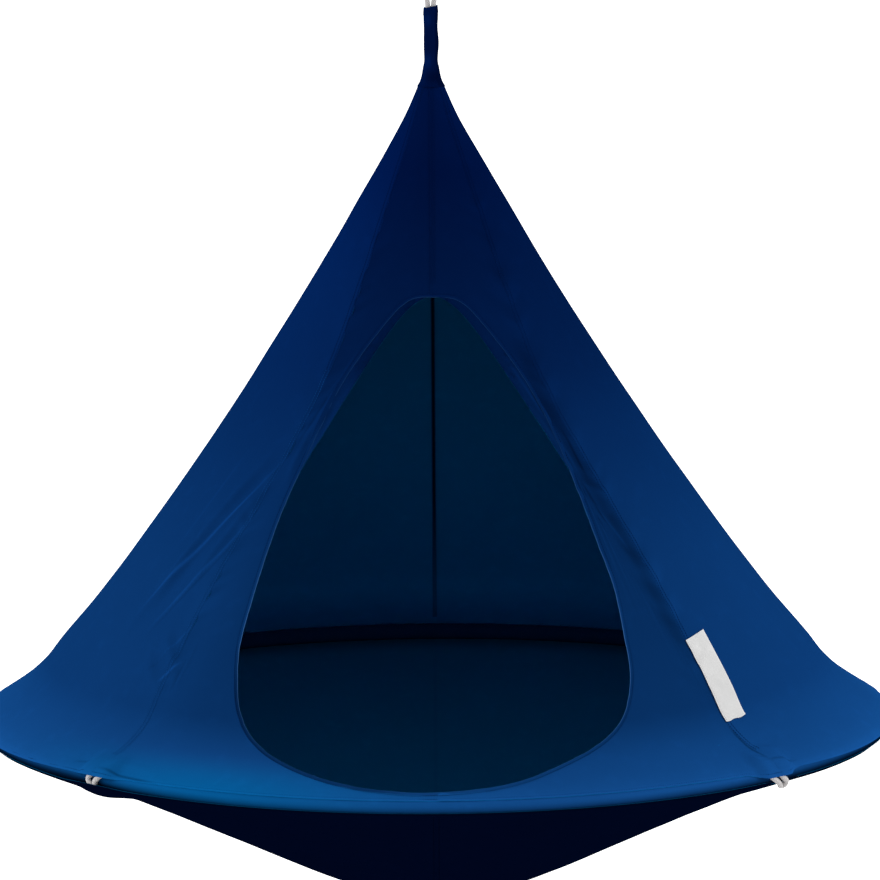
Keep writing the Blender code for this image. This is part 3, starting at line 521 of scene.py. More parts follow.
class Graph:
    """Short forms for the making of a node tree."""

    def __init__(self, tree: Tree) -> None:
        """Keep the tree."""
        self.tree = tree

    def feed(self, socket: Socket, value: object) -> None:
        """Give a socket a link, or a value of its own."""
        if isinstance(value, Socket):
            self.tree.links.new(value, socket)
        else:
            socket.default_value = value

    def fill(self, node: Node, inputs: dict) -> None:
        """Feed inputs of a node, by name or number."""
        for key, value in inputs.items():
            self.feed(node.inputs[key], value)

    def add(self, kind: str, inputs: dict | None = None, **settings: object) -> Node:
        """Add a node.

        Args:
            kind: the node's type.
            inputs: links and values, by name or number.
            **settings: its properties, which are set first.

        Returns:
            The node.
        """
        node = self.tree.nodes.new(kind)
        for key, value in settings.items():
            setattr(node, key, value)
        self.fill(node, inputs or {})
        return node

    def math(self, operation: str, first: object, second: object = 0.0) -> Socket:
        """Return the result of a sum on two values."""
        return self.add("ShaderNodeMath", {0: first, 1: second}, operation=operation).outputs[0]

    def mix(self, share: object, first: object, second: object) -> Socket:
        """Return a blend of two colours."""
        return self.add("ShaderNodeMix", {0: share, 6: first, 7: second}, data_type="RGBA").outputs[2]

    def paint(self, colour: Colour) -> Socket:
        """Return one plain colour.

        Args:
            colour: the colour.

        Returns:
            The socket that gives it.
        """
        socket = self.add("ShaderNodeRGB").outputs[0]
        socket.default_value = (*colour, 1.0)
        return socket

    def shade(self, colour: object, factor: object) -> Socket:
        """Return a colour made lighter or darker by a factor."""
        return self.add("ShaderNodeVectorMath", {0: colour, "Scale": factor}, operation="SCALE").outputs[0]

    def mark(self, name: str) -> Socket:
        """Return the value of one of the piece's own attributes."""
        return self.add("ShaderNodeAttribute", attribute_name=name).outputs["Fac"]

    def cloth_metres(self) -> Socket:
        """Return the place on the piece's own UV map."""
        return self.add("ShaderNodeUVMap", uv_map="cloth_metres").outputs[0]

    def spread(self, value: object, low: float, high: float) -> Socket:
        """Return a 0 to 1 value spread between two limits."""
        return self.add("ShaderNodeMapRange", {"Value": value, "To Min": low, "To Max": high}).outputs[0]

    def noise(self, place: object, scale: object, detail: float, distortion: float = 0.0) -> Socket:
        """Return soft noise."""
        inputs = {"Vector": place, "Scale": scale, "Detail": detail, "Distortion": distortion}
        return self.add("ShaderNodeTexNoise", inputs).outputs["Fac"]

    def effect(self, tree: Tree, inputs: dict) -> Outputs:
        """Return what a shared effect puts out."""
        return self.add("ShaderNodeGroup", inputs, node_tree=tree).outputs

    def mottle(self, effects: Effects, patches: float, specks: float) -> Outputs:
        """Return the changes of dye and dust over the piece."""
        place = self.add("ShaderNodeTexCoord").outputs["Object"]
        return self.effect(effects.mottle, {"Place": place, "Patches": patches, "Specks": specks})

    def bump(self, shader: Node, height: object, strength: float, distance: float) -> None:
        """Give a shader its fine relief."""
        node = self.add("ShaderNodeBump", {"Strength": strength, "Distance": distance, "Height": height})
        self.feed(shader.inputs["Normal"], node.outputs[0])


def new_group(name: str, inputs: dict[str, str], outputs: dict[str, str]) -> tuple:
    """Return a shader node group, a graph on it, its input node and its output node.

    Args:
        name: the group's name.
        inputs: the kind of each input, by name.
        outputs: the kind of each output, by name.

    Returns:
        The four of them.
    """
    tree = bpy.data.node_groups.new(name, "ShaderNodeTree")
    for label, kind in inputs.items():
        tree.interface.new_socket(label, in_out="INPUT", socket_type=kind)
    for label, kind in outputs.items():
        tree.interface.new_socket(label, in_out="OUTPUT", socket_type=kind)
    graph = Graph(tree)
    return tree, graph, graph.add("NodeGroupInput"), graph.add("NodeGroupOutput")


class Effects:
    """Surface effects that several materials share."""

    FLOAT = "NodeSocketFloat"
    VECTOR = "NodeSocketVector"

    def __init__(self) -> None:
        """Build each effect once."""
        self.weave = self.build_weave()
        self.mottle = self.build_mottle()
        self.braid = self.build_braid()
        self.brushing = self.build_brushing()

    def build_weave(self) -> Tree:
        """Return the plain weave: threads over and under, and slubs along them.

        Returns:
            The node group.
        """
        tree, graph, source, sink = new_group(
            "woven_threads",
            {"Cloth": self.VECTOR, "Thread": self.FLOAT},
            {"Height": self.FLOAT, "Gaps": self.FLOAT},
        )
        cloth = source.outputs["Cloth"]
        split = graph.add("ShaderNodeSeparateXYZ", {0: cloth}).outputs
        turn = graph.math("DIVIDE", math.pi, source.outputs["Thread"])
        across, along = (graph.math("SINE", graph.math("MULTIPLY", split[axis], turn)) for axis in ("X", "Y"))
        over = graph.math("MULTIPLY", across, along)
        slubs = []
        for stretch in ((90, 1400, 1), (1400, 90, 1)):
            stretched = graph.add("ShaderNodeMapping", {"Vector": cloth, "Scale": stretch})
            slubs.append(graph.noise(stretched.outputs[0], 1.0, 2.0))
        threads = graph.math("ADD", *slubs)
        gaps = graph.math("SUBTRACT", 1.0, graph.math("ABSOLUTE", over))
        height = graph.math("ADD", graph.math("MULTIPLY", over, 0.5), threads)
        graph.fill(sink, {"Height": height, "Gaps": graph.math("POWER", gaps, 3.0)})
        return tree

    def build_mottle(self) -> Tree:
        """Return broad, soft changes of dye and dust, and fine ones.

        Returns:
            The node group.
        """
        tree, graph, source, sink = new_group(
            "dye_and_dust",
            {"Place": self.VECTOR, "Patches": self.FLOAT, "Specks": self.FLOAT},
            {"Dye": self.FLOAT, "Dust": self.FLOAT},
        )
        place, patches, specks = (source.outputs[label] for label in ("Place", "Patches", "Specks"))
        dust = graph.noise(place, specks, 8.0)
        sparse = graph.add("ShaderNodeMapRange", {"Value": dust, "From Min": 0.55, "From Max": 0.8})
        graph.fill(sink, {"Dye": graph.noise(place, patches, 4.0), "Dust": sparse.outputs["Result"]})
        return tree

    def build_braid(self) -> Tree:
        """Return the plaited strands of a rope, from turns round it and metres along it.

        Returns:
            The node group.
        """
        tree, graph, source, sink = new_group(
            "plaited_strands",
            {"Along": self.VECTOR, "Strands": self.FLOAT, "Pitch": self.FLOAT},
            {"Height": self.FLOAT, "Grooves": self.FLOAT},
        )
        split = graph.add("ShaderNodeSeparateXYZ", {0: source.outputs["Along"]}).outputs
        around = graph.math("MULTIPLY", split["X"], source.outputs["Strands"])
        run = graph.math("DIVIDE", split["Y"], source.outputs["Pitch"])
        left, right = (
            graph.math("SINE", graph.math("MULTIPLY", graph.math(way, around, run), math.pi))
            for way in ("ADD", "SUBTRACT")
        )
        plait = graph.math("ABSOLUTE", graph.math("MULTIPLY", left, right))
        height = graph.math("POWER", plait, 0.45)
        graph.fill(sink, {"Height": height, "Grooves": graph.math("SUBTRACT", 1.0, height)})
        return tree

    def build_brushing(self) -> Tree:
        """Return the fine scratches and the smudges of handled metal.

        Returns:
            The node group.
        """
        tree, graph, source, sink = new_group(
            "handled_metal",
            {"Place": self.VECTOR, "Grain": self.FLOAT},
            {"Scratches": self.FLOAT, "Smudges": self.FLOAT},
        )
        place = source.outputs["Place"]
        scratches = graph.noise(place, source.outputs["Grain"], 6.0, 1.5)
        graph.fill(sink, {"Scratches": scratches, "Smudges": graph.noise(place, 45.0, 3.0)})
        return tree


def new_material(name: str) -> tuple[Material, Graph, Node]:
    """Return a material, a graph on its tree and its Principled shader.

    Args:
        name: the material's name.

    Returns:
        The three of them.
    """
    material = bpy.data.materials.new(name)
    material.use_nodes = True
    return material, Graph(material.node_tree), material.node_tree.nodes["Principled BSDF"]


@dataclass(frozen=True)
class ClothFinish:
    """A woven cloth, whose colour takes painted light and shade from marks on each piece."""

    name: str
    face: Colour
    # The face turns into the next colour as painted light, darker at the top of the cone; the seam tapes use
    # the pair for their seam line.
    lit_and_pale_colour: Colour
    lining: Colour
    # A lighter cyan: painted sheen just above the ring.
    painted_sheen: Colour = (0.0017, 0.092, 0.283)
    # A light blue: painted highlight along the inner fold of the door binding.
    edge: Colour = (0.055, 0.19, 0.50)
    # The width of the painted highlights and shadows of thin folds.
    line_width: float = 0.0024
    thread: float = 0.00062
    roughness: float = 0.72
    sheen: float = 0.0
    sheen_tint: Colour = (0.25, 0.55, 0.9)
    relief: float = 0.00012
    patches: float = 3.0
    gloss: float = 0.0

    def material(self, effects: Effects) -> Material:
        """Return the cloth's material.

        Args:
            effects: the effects that finishes share.

        Returns:
            The material.
        """
        material, graph, shader = new_material(self.name)
        weave = graph.effect(effects.weave, {"Cloth": graph.cloth_metres(), "Thread": self.thread})
        mottle = graph.mottle(effects, self.patches, 38.0)
        # Painted light: from the dark face at the top of the cone to the lighter colour near the ring.
        lit_and_pale_colour = graph.mix(graph.mark("painted_light_and_seam_line"), (*self.face, 1.0), (*self.lit_and_pale_colour, 1.0))
        # Painted sheen: lighter and more cyan just above the ring, on the doorway's left.
        with_painted_sheen = graph.mix(graph.mark("painted_sheen"), lit_and_pale_colour, (*self.painted_sheen, 1.0))
        # Lighter where the cloth is rubbed, and a painted highlight along the label's long edges.
        worn_and_highlit = graph.mix(graph.math("MULTIPLY", graph.mark("wear"), 0.35), with_painted_sheen, graph.shade(with_painted_sheen, 1.7))
        # Painted highlight along the inner fold of the door binding, strongest low down.
        edged = graph.mix(graph.mark("edge"), worn_and_highlit, (*self.edge, 1.0))
        # Painted highlights and shadows of thin folds, laid along lines on the cloth.
        near = graph.math("DIVIDE", graph.mark("line"), self.line_width)
        drawn = graph.math("EXPONENT", graph.math("MULTIPLY", graph.math("MULTIPLY", near, near), -1.0))
        lined = graph.math("MULTIPLY", drawn, graph.mark("line_shade"))
        # Painted light and shade: each piece lightens or darkens its colour by its own marks, and the painted
        # folds are added.
        toned = graph.shade(edged, graph.math("ADD", graph.math("ADD", 1.0, graph.mark("tone")), lined))
        # The lining, with painted bounced light near the ring and painted shade high up.
        lit = graph.shade(graph.paint(self.lining), graph.math("ADD", 1.0, graph.mark("painted_bounce")))
        sided = graph.mix(graph.mark("inside"), toned, lit)
        dye = graph.spread(mottle["Dye"], 0.90, 1.10)
        # Darker in the gaps between the threads: painted shade.
        threaded = graph.shade(graph.shade(sided, dye), graph.spread(weave["Gaps"], 1.04, 0.80))
        dusty = graph.mix(graph.math("MULTIPLY", mottle["Dust"], 0.25), threaded, graph.shade(threaded, 1.4))
        rough = graph.math("ADD", graph.spread(mottle["Dye"], -0.05, 0.05), self.roughness)
        graph.bump(shader, weave["Height"], 0.6, self.relief)
        graph.fill(
            shader,
            {
                "Base Color": dusty,
                "Roughness": rough,
                "Sheen Weight": self.sheen,
                "Sheen Roughness": 0.45,
                "Sheen Tint": (*self.sheen_tint, 1.0),
                "Specular IOR Level": self.gloss,
            },
        )
        return material


@dataclass(frozen=True)
class RopeFinish:
    """A plaited rope."""

    name: str
    light: Colour
    dark: Colour
    # A dark grey: painted shade in the grooves between the strands.
    groove: Colour = (0.10, 0.09, 0.085)
    strands: float = 8.0
    pitch: float = 0.0034

    def material(self, effects: Effects) -> Material:
        """Return the rope's material.

        Args:
            effects: the effects that finishes share.

        Returns:
            The material.
        """
        material, graph, shader = new_material(self.name)
        inputs = {"Along": graph.cloth_metres(), "Strands": self.strands, "Pitch": self.pitch}
        braid = graph.effect(effects.braid, inputs)
        mottle = graph.mottle(effects, 12.0, 400.0)
        fibre = graph.mix(mottle["Dye"], (*self.light, 1.0), (*self.dark, 1.0))
        # Painted shade in the grooves between the strands.
        grooved = graph.mix(graph.math("MULTIPLY", braid["Grooves"], 0.75), fibre, (*self.groove, 1.0))
        rough = graph.spread(braid["Height"], 0.92, 0.70)
        hairs = graph.math("MULTIPLY", mottle["Dust"], 0.25)
        graph.bump(shader, graph.math("ADD", braid["Height"], hairs), 0.9, 0.0006)
        graph.fill(shader, {"Base Color": grooved, "Roughness": rough, "Sheen Weight": 0.15})
        return material


@dataclass(frozen=True)
class MetalFinish:
    """A bare metal."""

    name: str
    colour: Colour
    roughness: float
    grain: float = 700.0

    def material(self, effects: Effects) -> Material:
        """Return the metal's material.

        Args:
            effects: the effects that finishes share.

        Returns:
            The material.
        """
        material, graph, shader = new_material(self.name)
        place = graph.add("ShaderNodeTexCoord").outputs["Object"]
        handled = graph.effect(effects.brushing, {"Place": place, "Grain": self.grain})
        dull = graph.shade(graph.paint(self.colour), graph.spread(handled["Smudges"], 0.82, 1.08))
        rough = graph.math("ADD", graph.spread(handled["Scratches"], -0.08, 0.10), self.roughness)
        graph.bump(shader, handled["Scratches"], 0.25, 0.00006)
        graph.fill(shader, {"Base Color": dull, "Roughness": rough, "Metallic": 1.0})
        return material


@dataclass(frozen=True)
class ThreadFinish:
    """A sewing thread."""

    name: str
    colour: Colour
    gloss: float = 0.0

    def material(self, effects: Effects) -> Material:
        """Return the thread's material.

        Args:
            effects: the effects that finishes share.

        Returns:
            The material.
        """
        material, graph, shader = new_material(self.name)
        mottle = graph.mottle(effects, 60.0, 2500.0)
        uneven = graph.shade(graph.paint(self.colour), graph.spread(mottle["Dye"], 0.7, 1.3))
        graph.bump(shader, mottle["Dust"], 0.5, 0.0001)
        graph.fill(shader, {"Base Color": uneven, "Roughness": 0.9, "Specular IOR Level": self.gloss})
        return material


class Wardrobe:
    """All the finishes of the tent."""

    def __init__(self) -> None:
        """Make each material once."""
        effects = Effects()
        # The canvas is dark at the top of the cone and takes the next, lighter colour towards the ring:
        # painted light.
        canvas: Colour = (0.0001, 0.0062, 0.0505)
        lit_and_pale_colour: Colour = (0.0064, 0.0690, 0.255)
        # The linings are far lighter than the outer canvas: painted light inside the tent.
        lining: Colour = (0.0006, 0.1200, 0.305)
        floor_lining: Colour = (0.0010, 0.1460, 0.355)
        self.canopy = ClothFinish("blue_canvas", canvas, lit_and_pale_colour, lining).material(effects)
        # The floor's outer face is nearly black: painted shade under the tent.
        self.floor = ClothFinish(
            "painted_shade_floor_canvas",
            face=(0.0003, 0.0020, 0.0125),
            lit_and_pale_colour=(0.0003, 0.0020, 0.0125),
            lining=floor_lining,
            thread=0.0009,
            roughness=0.6,
        ).material(effects)
        self.sleeve = ClothFinish("rim_canvas", canvas, lit_and_pale_colour, lining).material(effects)
        binding = ClothFinish("door_binding_tape", canvas, lit_and_pale_colour, lining, thread=0.0005)
        self.binding = binding.material(effects)
        dark: Colour = (0.0004, 0.0060, 0.022)
        tape = ClothFinish("seam_tape_cloth", dark, lining, dark, thread=0.0007)
        self.tape = tape.material(effects)
        self.floor_tape = replace(tape, name="floor_tape_cloth", lit_and_pale_colour=floor_lining).material(effects)
        self.label = ClothFinish(
            "bare_label_satin",
            (0.60, 0.60, 0.60),
            (0.62, 0.62, 0.62),
            (0.60, 0.59, 0.58),
            thread=0.00035,
            roughness=0.45,
            relief=0.00004,
            patches=25.0,
        ).material(effects)
        self.rope = RopeFinish("plaited_rope", (0.80, 0.78, 0.79), (0.62, 0.59, 0.58)).material(effects)
        # Copies of one blue thread in lighter and darker shades, each matching the painted light and shade of
        # the cloth it lies on.
        self.thread = ThreadFinish("blue_thread", (0.0002, 0.0066, 0.048)).material(effects)
        self.middle_thread = ThreadFinish("mid_blue_thread", (0.0008, 0.0130, 0.078)).material(effects)
        self.painted_shade_thread = ThreadFinish("painted_shade_thread", (0.0003, 0.0018, 0.0110)).material(effects)
        self.sunned_thread = ThreadFinish("painted_lit_blue_thread", (0.0046, 0.0570, 0.220)).material(effects)
        self.pale_thread = ThreadFinish("grey_thread", (0.42, 0.42, 0.43)).material(effects)
        self.aluminium = MetalFinish("drawn_aluminium", (0.66, 0.67, 0.69), 0.34).material(effects)
        self.steel = MetalFinish("polished_steel", (0.62, 0.61, 0.60), 0.17, grain=1100.0).material(effects)


# The tent's shape


@dataclass(frozen=True)
class Crease:
    """A tension line in the cloth, from one azimuth and height to another."""

    start: tuple[float, float]
    end: tuple[float, float]
    width: float
    depth: float
    bow: float = 0.05


@dataclass(frozen=True)
class Stroke:
    """A thin fold painted into the colour: its two ends as azimuth and height, and its shade, a painted
    highlight above 0 and a painted shadow below 0.
    """

    start: tuple[float, float]
    end: tuple[float, float]
    shade: float
    bow: float = 0.0


@dataclass
class TentForm:
    """The tent's shape: the cone's profile, its seams, its doorway and its rim."""

    plane: float
    ring_radius: float
    tube_radius: float
    gate_height: float
    sleeve_outside: float = 0.0139
    cover: float = 0.0148
    tangent: float = 56.0
    corner: float = 45.0
    front_seam_middle: float = 43.3
    front_seam_high: float = 35.0
    ridge: float = 0.03
    loop_lift: float = 0.0098
    loop_edge: float = 4.0
    tucked_edge: float = 24.0
    noise: SoftNoise = field(default_factory=lambda: SoftNoise(7))
    PROFILE = (
        (1.038, 0.0194), (0.977, 0.0477), (0.880, 0.1030), (0.750, 0.1790), (0.586, 0.2810),
        (0.421, 0.3920), (0.288, 0.4860), (0.188, 0.5630), (0.121, 0.6194), (0.087, 0.6460),
        (0.054, 0.6815),
    )
    DOORWAY = (
        (0.000, 0.714), (-0.042, 0.706), (-0.090, 0.656), (-0.141, 0.587), (-0.180, 0.515),
        (-0.231, 0.411), (-0.261, 0.337), (-0.286, 0.264), (-0.304, 0.202), (-0.307, 0.154),
        (-0.302, 0.113), (-0.285, 0.082), (-0.250, 0.058), (-0.188, 0.038), (-0.104, 0.025),
        (0.000, 0.021), (0.110, 0.029), (0.189, 0.048), (0.257, 0.074), (0.291, 0.106),
        (0.303, 0.157), (0.296, 0.209), (0.281, 0.280), (0.260, 0.335), (0.236, 0.396),
        (0.190, 0.505), (0.145, 0.587), (0.090, 0.660), (0.044, 0.706),
    )
    # Thin folds painted into the colour as highlights and shadows, with no relief of their own.
    STROKES = (
        Stroke((-36.5, 0.492), (-61.2, 0.200), 0.55),
        Stroke((-38.3, 0.415), (-55.5, 0.180), 0.30),
        Stroke((-39.8, 0.385), (-55.0, 0.170), -0.14),
        Stroke((-54.3, 0.485), (-62.2, 0.300), 0.14),
        Stroke((-42.0, 0.172), (-45.2, 0.135), 0.50),
        Stroke((-43.0, 0.225), (-47.5, 0.160), 0.22),
        Stroke((-45.2, 0.190), (-48.5, 0.145), -0.16),
        Stroke((-45.6, 0.0140), (-35.0, 0.0114), -0.42),
        Stroke((-47.0, 0.024), (-51.0, 0.018), -0.18),
        Stroke((43.4, 0.078), (44.6, 0.014), -0.42),
        Stroke((43.2, 0.0200), (50.3, 0.0140), -0.26),
        Stroke((24.5, 0.640), (33.5, 0.520), 0.20),
        Stroke((30.5, 0.600), (34.5, 0.500), -0.26),
        Stroke((33.5, 0.540), (37.0, 0.430), 0.22),
        Stroke((36.5, 0.520), (38.5, 0.430), -0.24),
        Stroke((35.5, 0.450), (39.0, 0.360), -0.24),
        Stroke((37.5, 0.400), (41.5, 0.320), 0.18),
        Stroke((-27.0, 0.640), (-34.0, 0.560), 0.16),
        Stroke((-31.0, 0.600), (-38.0, 0.480), -0.20),
    )
    DOORWAY_LOWEST = 15
    FADE_HEIGHTS = (0.0, 0.03, 0.10, 0.30, 0.60, 0.90)
    FADE_SHARES = (1.0, 0.75, 0.46, 0.38, 0.12, 0.0)
    # Painted bounced light inside the tent: how much the lining is lightened near the ring and darkened high
    # up.
    BOUNCE_HEIGHTS = (0.0, 0.02, 0.05, 0.12, 0.20, 0.30, 0.40, 0.50, 0.60, 0.75, 1.00)
    BOUNCE_SHARES = (1.5, 1.2, 0.95, 0.65, 0.48, 0.30, 0.15, 0.0, -0.12, -0.20, -0.20)
    CREASES = (
        Crease((-40.5, 0.500), (-58.0, 0.205), 0.010, 0.0052),
        Crease((-43.0, 0.430), (-61.0, 0.170), 0.012, 0.0040),
        Crease((-38.5, 0.450), (-50.0, 0.250), 0.008, 0.0032),
        Crease((-50.0, 0.215), (-39.0, 0.140), 0.010, 0.0030),
        Crease((-52.0, 0.190), (-44.0, 0.125), 0.008, 0.0022),
        Crease((-29.5, 0.600), (-33.0, 0.470), 0.006, 0.0030),
        Crease((-31.5, 0.560), (-36.5, 0.420), 0.006, 0.0026),
        Crease((-35.5, 0.020), (-44.5, 0.024), 0.007, 0.0016),
        Crease((-46.5, 0.044), (-52.0, 0.024), 0.007, 0.0022),
        Crease((44.0, 0.040), (50.0, 0.032), 0.006, 0.0032),
        Crease((42.5, 0.055), (37.0, 0.040), 0.006, 0.0018),
        Crease((29.0, 0.590), (35.5, 0.500), 0.005, 0.0014),
        Crease((30.0, 0.545), (36.5, 0.455), 0.005, 0.0014),
        Crease((32.0, 0.490), (38.5, 0.400), 0.006, 0.0013),
        Crease((33.0, 0.440), (39.5, 0.350), 0.005, 0.0012),
        Crease((34.0, 0.390), (40.5, 0.310), 0.006, 0.0010),
        Crease((37.0, 0.300), (43.0, 0.215), 0.007, 0.0009),
    )
    PUCKERED = ((1, 0.0018), (2, 0.0009), (3, 0.0005), (4, 0.0009), (5, 0.0012))

    @classmethod
    def from_frame(cls, frame: dict) -> TentForm:
        """Read the ring's place and size and the gate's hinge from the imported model.

        Args:
            frame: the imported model.

        Returns:
            The tent's shape.
        """
        low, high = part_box("ring_tube_right")
        tube = (high.z - low.z) / 2
        hinge = next(joint for joint in frame["joints"] if joint["name"] == "gate_hinge")
        return cls((high.z + low.z) / 2, high.x - tube, tube, float(hinge["pos_m"][2]))

    def __post_init__(self) -> None:
        """Work out the slope's length, height and radius from its profile."""
        angle = math.radians(self.tangent)
        touch = (self.cover * math.sin(angle), self.ring_radius + self.cover * math.cos(angle))
        rows = np.array([*self.PROFILE, touch])
        height, radius = rows[:, 0], rows[:, 1]
        slope = np.empty(len(rows))
        slope[1:-1] = (radius[2:] - radius[:-2]) / (height[2:] - height[:-2])
        slope[0] = (radius[1] - radius[0]) / (height[1] - height[0])
        slope[-1] = -1.0 / math.tan(math.radians(90.0 - self.tangent))
        heights = []
        radii = []
        share = np.linspace(0.0, 1.0, 60, endpoint=False)
        for index in range(len(rows) - 1):
            span = height[index + 1] - height[index]
            leaving, arriving = slope[index : index + 2] * span
            heights.append(height[index] + span * share)
            radii.append(hermite(share, radius[index], leaving, radius[index + 1], arriving))
        self.heights = np.append(np.concatenate(heights), height[-1])
        self.radii = np.append(np.concatenate(radii), radius[-1])
        self.runs = lengths_along(np.stack([self.heights, self.radii], axis=1))
        self.slope_length = float(self.runs[-1])
        outline = catmull(np.array(self.DOORWAY), 12, closed=True)
        lowest = self.DOORWAY_LOWEST * 12
        self.door_left = outline[: lowest + 1]
        self.door_right = np.concatenate([outline[lowest:], outline[:1]])[::-1]

    def height_at(self, run: Array) -> Array:
        """Return the height for a distance down the slope."""
        return np.interp(run, self.runs, self.heights)

    def run_at(self, height: Array) -> Array:
        """Return the distance down the slope for a height."""
        return np.interp(height, self.heights[::-1], self.runs[::-1])

    def radius_at(self, height: Array) -> Array:
        """Return the cone's radius between its ridges."""
        return np.interp(height, self.heights[::-1], self.radii[::-1])

    def front_seam(self, height: Array) -> Array:
        """Return the azimuth of the right-hand front corner seam."""
        bend = (self.front_seam_middle - self.corner) * ramp(0.005, 0.085, height)
        return self.corner + bend + (self.front_seam_high - self.front_seam_middle) * ramp(0.26, 0.68, height)

    def seam(self, number: int, height: Array) -> Array:
        """Return the azimuth of a numbered seam, the front middle first and round to the right.

        Args:
            number: the seam's number.
            height: above the ring.

        Returns:
            The azimuths.
        """
        front = self.front_seam(height)
        level = np.zeros_like(front)
        rear = 180.0 - self.corner
        right = (level, front, level + rear, level + 180.0)
        return right[number] if number < 4 else 360.0 - right[6 - number]

    def edge_angle(self, azimuth: Array) -> Array:
        """Return the angle round the tube of the canopy's edge: high in front, low at the sides and loops.

        Args:
            azimuth: in degrees.

        Returns:
            The angles in degrees, up from the tube's outermost line.
        """
        angle = 49.0 - 52.0 * ramp(28.0, 78.0, np.abs(turned(azimuth)))
        lowered = 1.0 - ramp(1.7, 5.2, np.abs(np.asarray(azimuth) % 90.0 - self.corner))
        lowest = np.where(np.abs(turned(azimuth) + self.corner) < 10.0, self.tucked_edge, self.loop_edge)
        return np.minimum(angle, lowest) * lowered + angle * (1.0 - lowered)

    def edge_run(self, azimuth: Array) -> Array:
        """Return the distance down the slope and round the tube to the canopy's edge."""
        return self.slope_length + np.radians(self.tangent - self.edge_angle(azimuth)) * self.cover

    def ridge_share(self, azimuth: Array, height: Array) -> Array:
        """Return 0 in the middle of a facet of the canopy and 1 at a corner seam.

        Args:
            azimuth: in degrees.
            height: above the ring.

        Returns:
            The shares.
        """
        around = np.abs(turned(azimuth))
        front = self.front_seam(height)
        rear = 180.0 - self.corner
        side = np.abs(2.0 * around - front - rear) / (rear - front)
        back = np.where(around >= rear, (180.0 - around) / self.corner, side)
        return np.where(around <= front, around / front, back)

    def reach_at(self, azimuth: Array, height: Array) -> Array:
        """Return how far the smooth canopy stands from the axis, its ridges included."""
        swell = self.ridge * ramp(0.03, 0.22, height) * self.ridge_share(azimuth, height) ** 3
        return self.radius_at(height) * (1.0 + swell)

    def tube_point(self, azimuth: Array, distance: Array | float, angle: Array) -> Array:
        """Return points round the tube in the frame: angle 0 is outermost, 90 on top.

        Args:
            azimuth: in degrees.
            distance: from the middle of the tube.
            angle: in degrees round the tube.

        Returns:
            The points.
        """
        tilt = np.radians(angle)
        reach = self.ring_radius + distance * np.cos(tilt)
        return polar(reach, np.radians(azimuth), self.plane + distance * np.sin(tilt))

    def tube_skin(self, azimuth: Array, distance: Array | float, angle: Array) -> tuple[Array, Array]:
        """Return points round the tube in the frame, and their outward normals."""
        points = self.tube_point(azimuth, distance, angle)
        return points, unit(points - self.tube_point(azimuth, 0.0, angle))

    def base(self, azimuth: Array, run: Array) -> Array:
        """Return points of the smooth canopy, by azimuth and distance down the slope.

        Args:
            azimuth: in degrees.
            run: down the slope.

        Returns:
            The points.
        """
        azimuth, run = matched(azimuth, run)
        height = self.height_at(run)
        slope = polar(self.reach_at(azimuth, height), np.radians(azimuth), self.plane + height)
        angle = self.tangent - np.degrees(np.maximum(run - self.slope_length, 0.0) / self.cover)
        wrap = self.tube_point(azimuth, self.cover, angle)
        return np.where((run > self.slope_length)[..., None], wrap, slope)

    def normal(self, azimuth: Array, run: Array, turn: float = 0.3, step: float = 0.003) -> Array:
        """Return the canopy's outward normals.

        Args:
            azimuth: in degrees.
            run: down the slope.
            turn: how far round the slope is taken.
            step: how far down it is taken.

        Returns:
            The normals.
        """
        around = self.base(azimuth + turn, run) - self.base(azimuth - turn, run)
        above = np.maximum(np.asarray(run) - step, 0.0)
        down = self.base(azimuth, np.asarray(run) + step) - self.base(azimuth, above)
        return unit(np.cross(down, around))

    def flat_place(self, azimuth: Array, run: Array) -> tuple[Array, Array]:
        """Return how far round and how far down a point of the cloth lies, in metres."""
        radius = self.radius_at(self.height_at(run))
        return np.radians(turned(azimuth)) * radius, np.asarray(run, float)

    def seam_distance(self, number: int, azimuth: Array, run: Array) -> Array:
        """Return the signed distance to a numbered seam along the cloth."""
        height = self.height_at(run)
        return np.radians(turned(np.asarray(azimuth) - self.seam(number, height))) * self.radius_at(height)

    def beside(self, line: Crease | Stroke, azimuth: Array, run: Array) -> tuple[Array, Array]:
        """Return how far points lie to the side of a line on the cloth, and how strong the line is there.

        Args:
            line: the crease or the fold.
            azimuth: in degrees.
            run: down the slope.

        Returns:
            The distances, and the strengths from 0 to 1.
        """
        middle = (line.start[0] + line.end[0]) / 2
        x, y = self.flat_place(turned(np.asarray(azimuth) - middle), run)
        ends = []
        for around, height in (line.start, line.end):
            far, deep = self.flat_place(around - middle, self.run_at(height))
            ends.append(np.array([float(far), float(deep)]))
        along = ends[1] - ends[0]
        length = np.linalg.norm(along)
        along = along / length
        forward = (x - ends[0][0]) * along[0] + (y - ends[0][1]) * along[1]
        bend = line.bow * length * np.sin(np.clip(forward / length, 0.0, 1.0) * np.pi)
        sideways = (x - ends[0][0]) * along[1] - (y - ends[0][1]) * along[0] + bend
        fade = ramp(0.0, 0.35 * length, forward) * (1.0 - ramp(0.65 * length, length, forward))
        return sideways, fade

    def strokes(self, azimuth: Array, run: Array) -> tuple[Array, Array]:
        """Return the distance to the nearest painted fold and how much its painted highlight lightens the
        colour, below 0 for a painted shadow.

        Args:
            azimuth: in degrees.
            run: down the slope.

        Returns:
            The distances and the changes.
        """
        nearest = np.full(np.broadcast(azimuth, run).shape, 1.0)
        shade = np.zeros(nearest.shape)
        for stroke in self.STROKES:
            sideways, fade = self.beside(stroke, azimuth, run)
            fade = fade * (1.0 - ramp(0.012, 0.020, np.abs(sideways)))
            closer = (fade > 0.0) & (np.abs(sideways) < np.abs(nearest))
            nearest = np.where(closer, sideways, nearest)
            shade = np.where(closer, stroke.shade * fade, shade)
        return nearest, shade

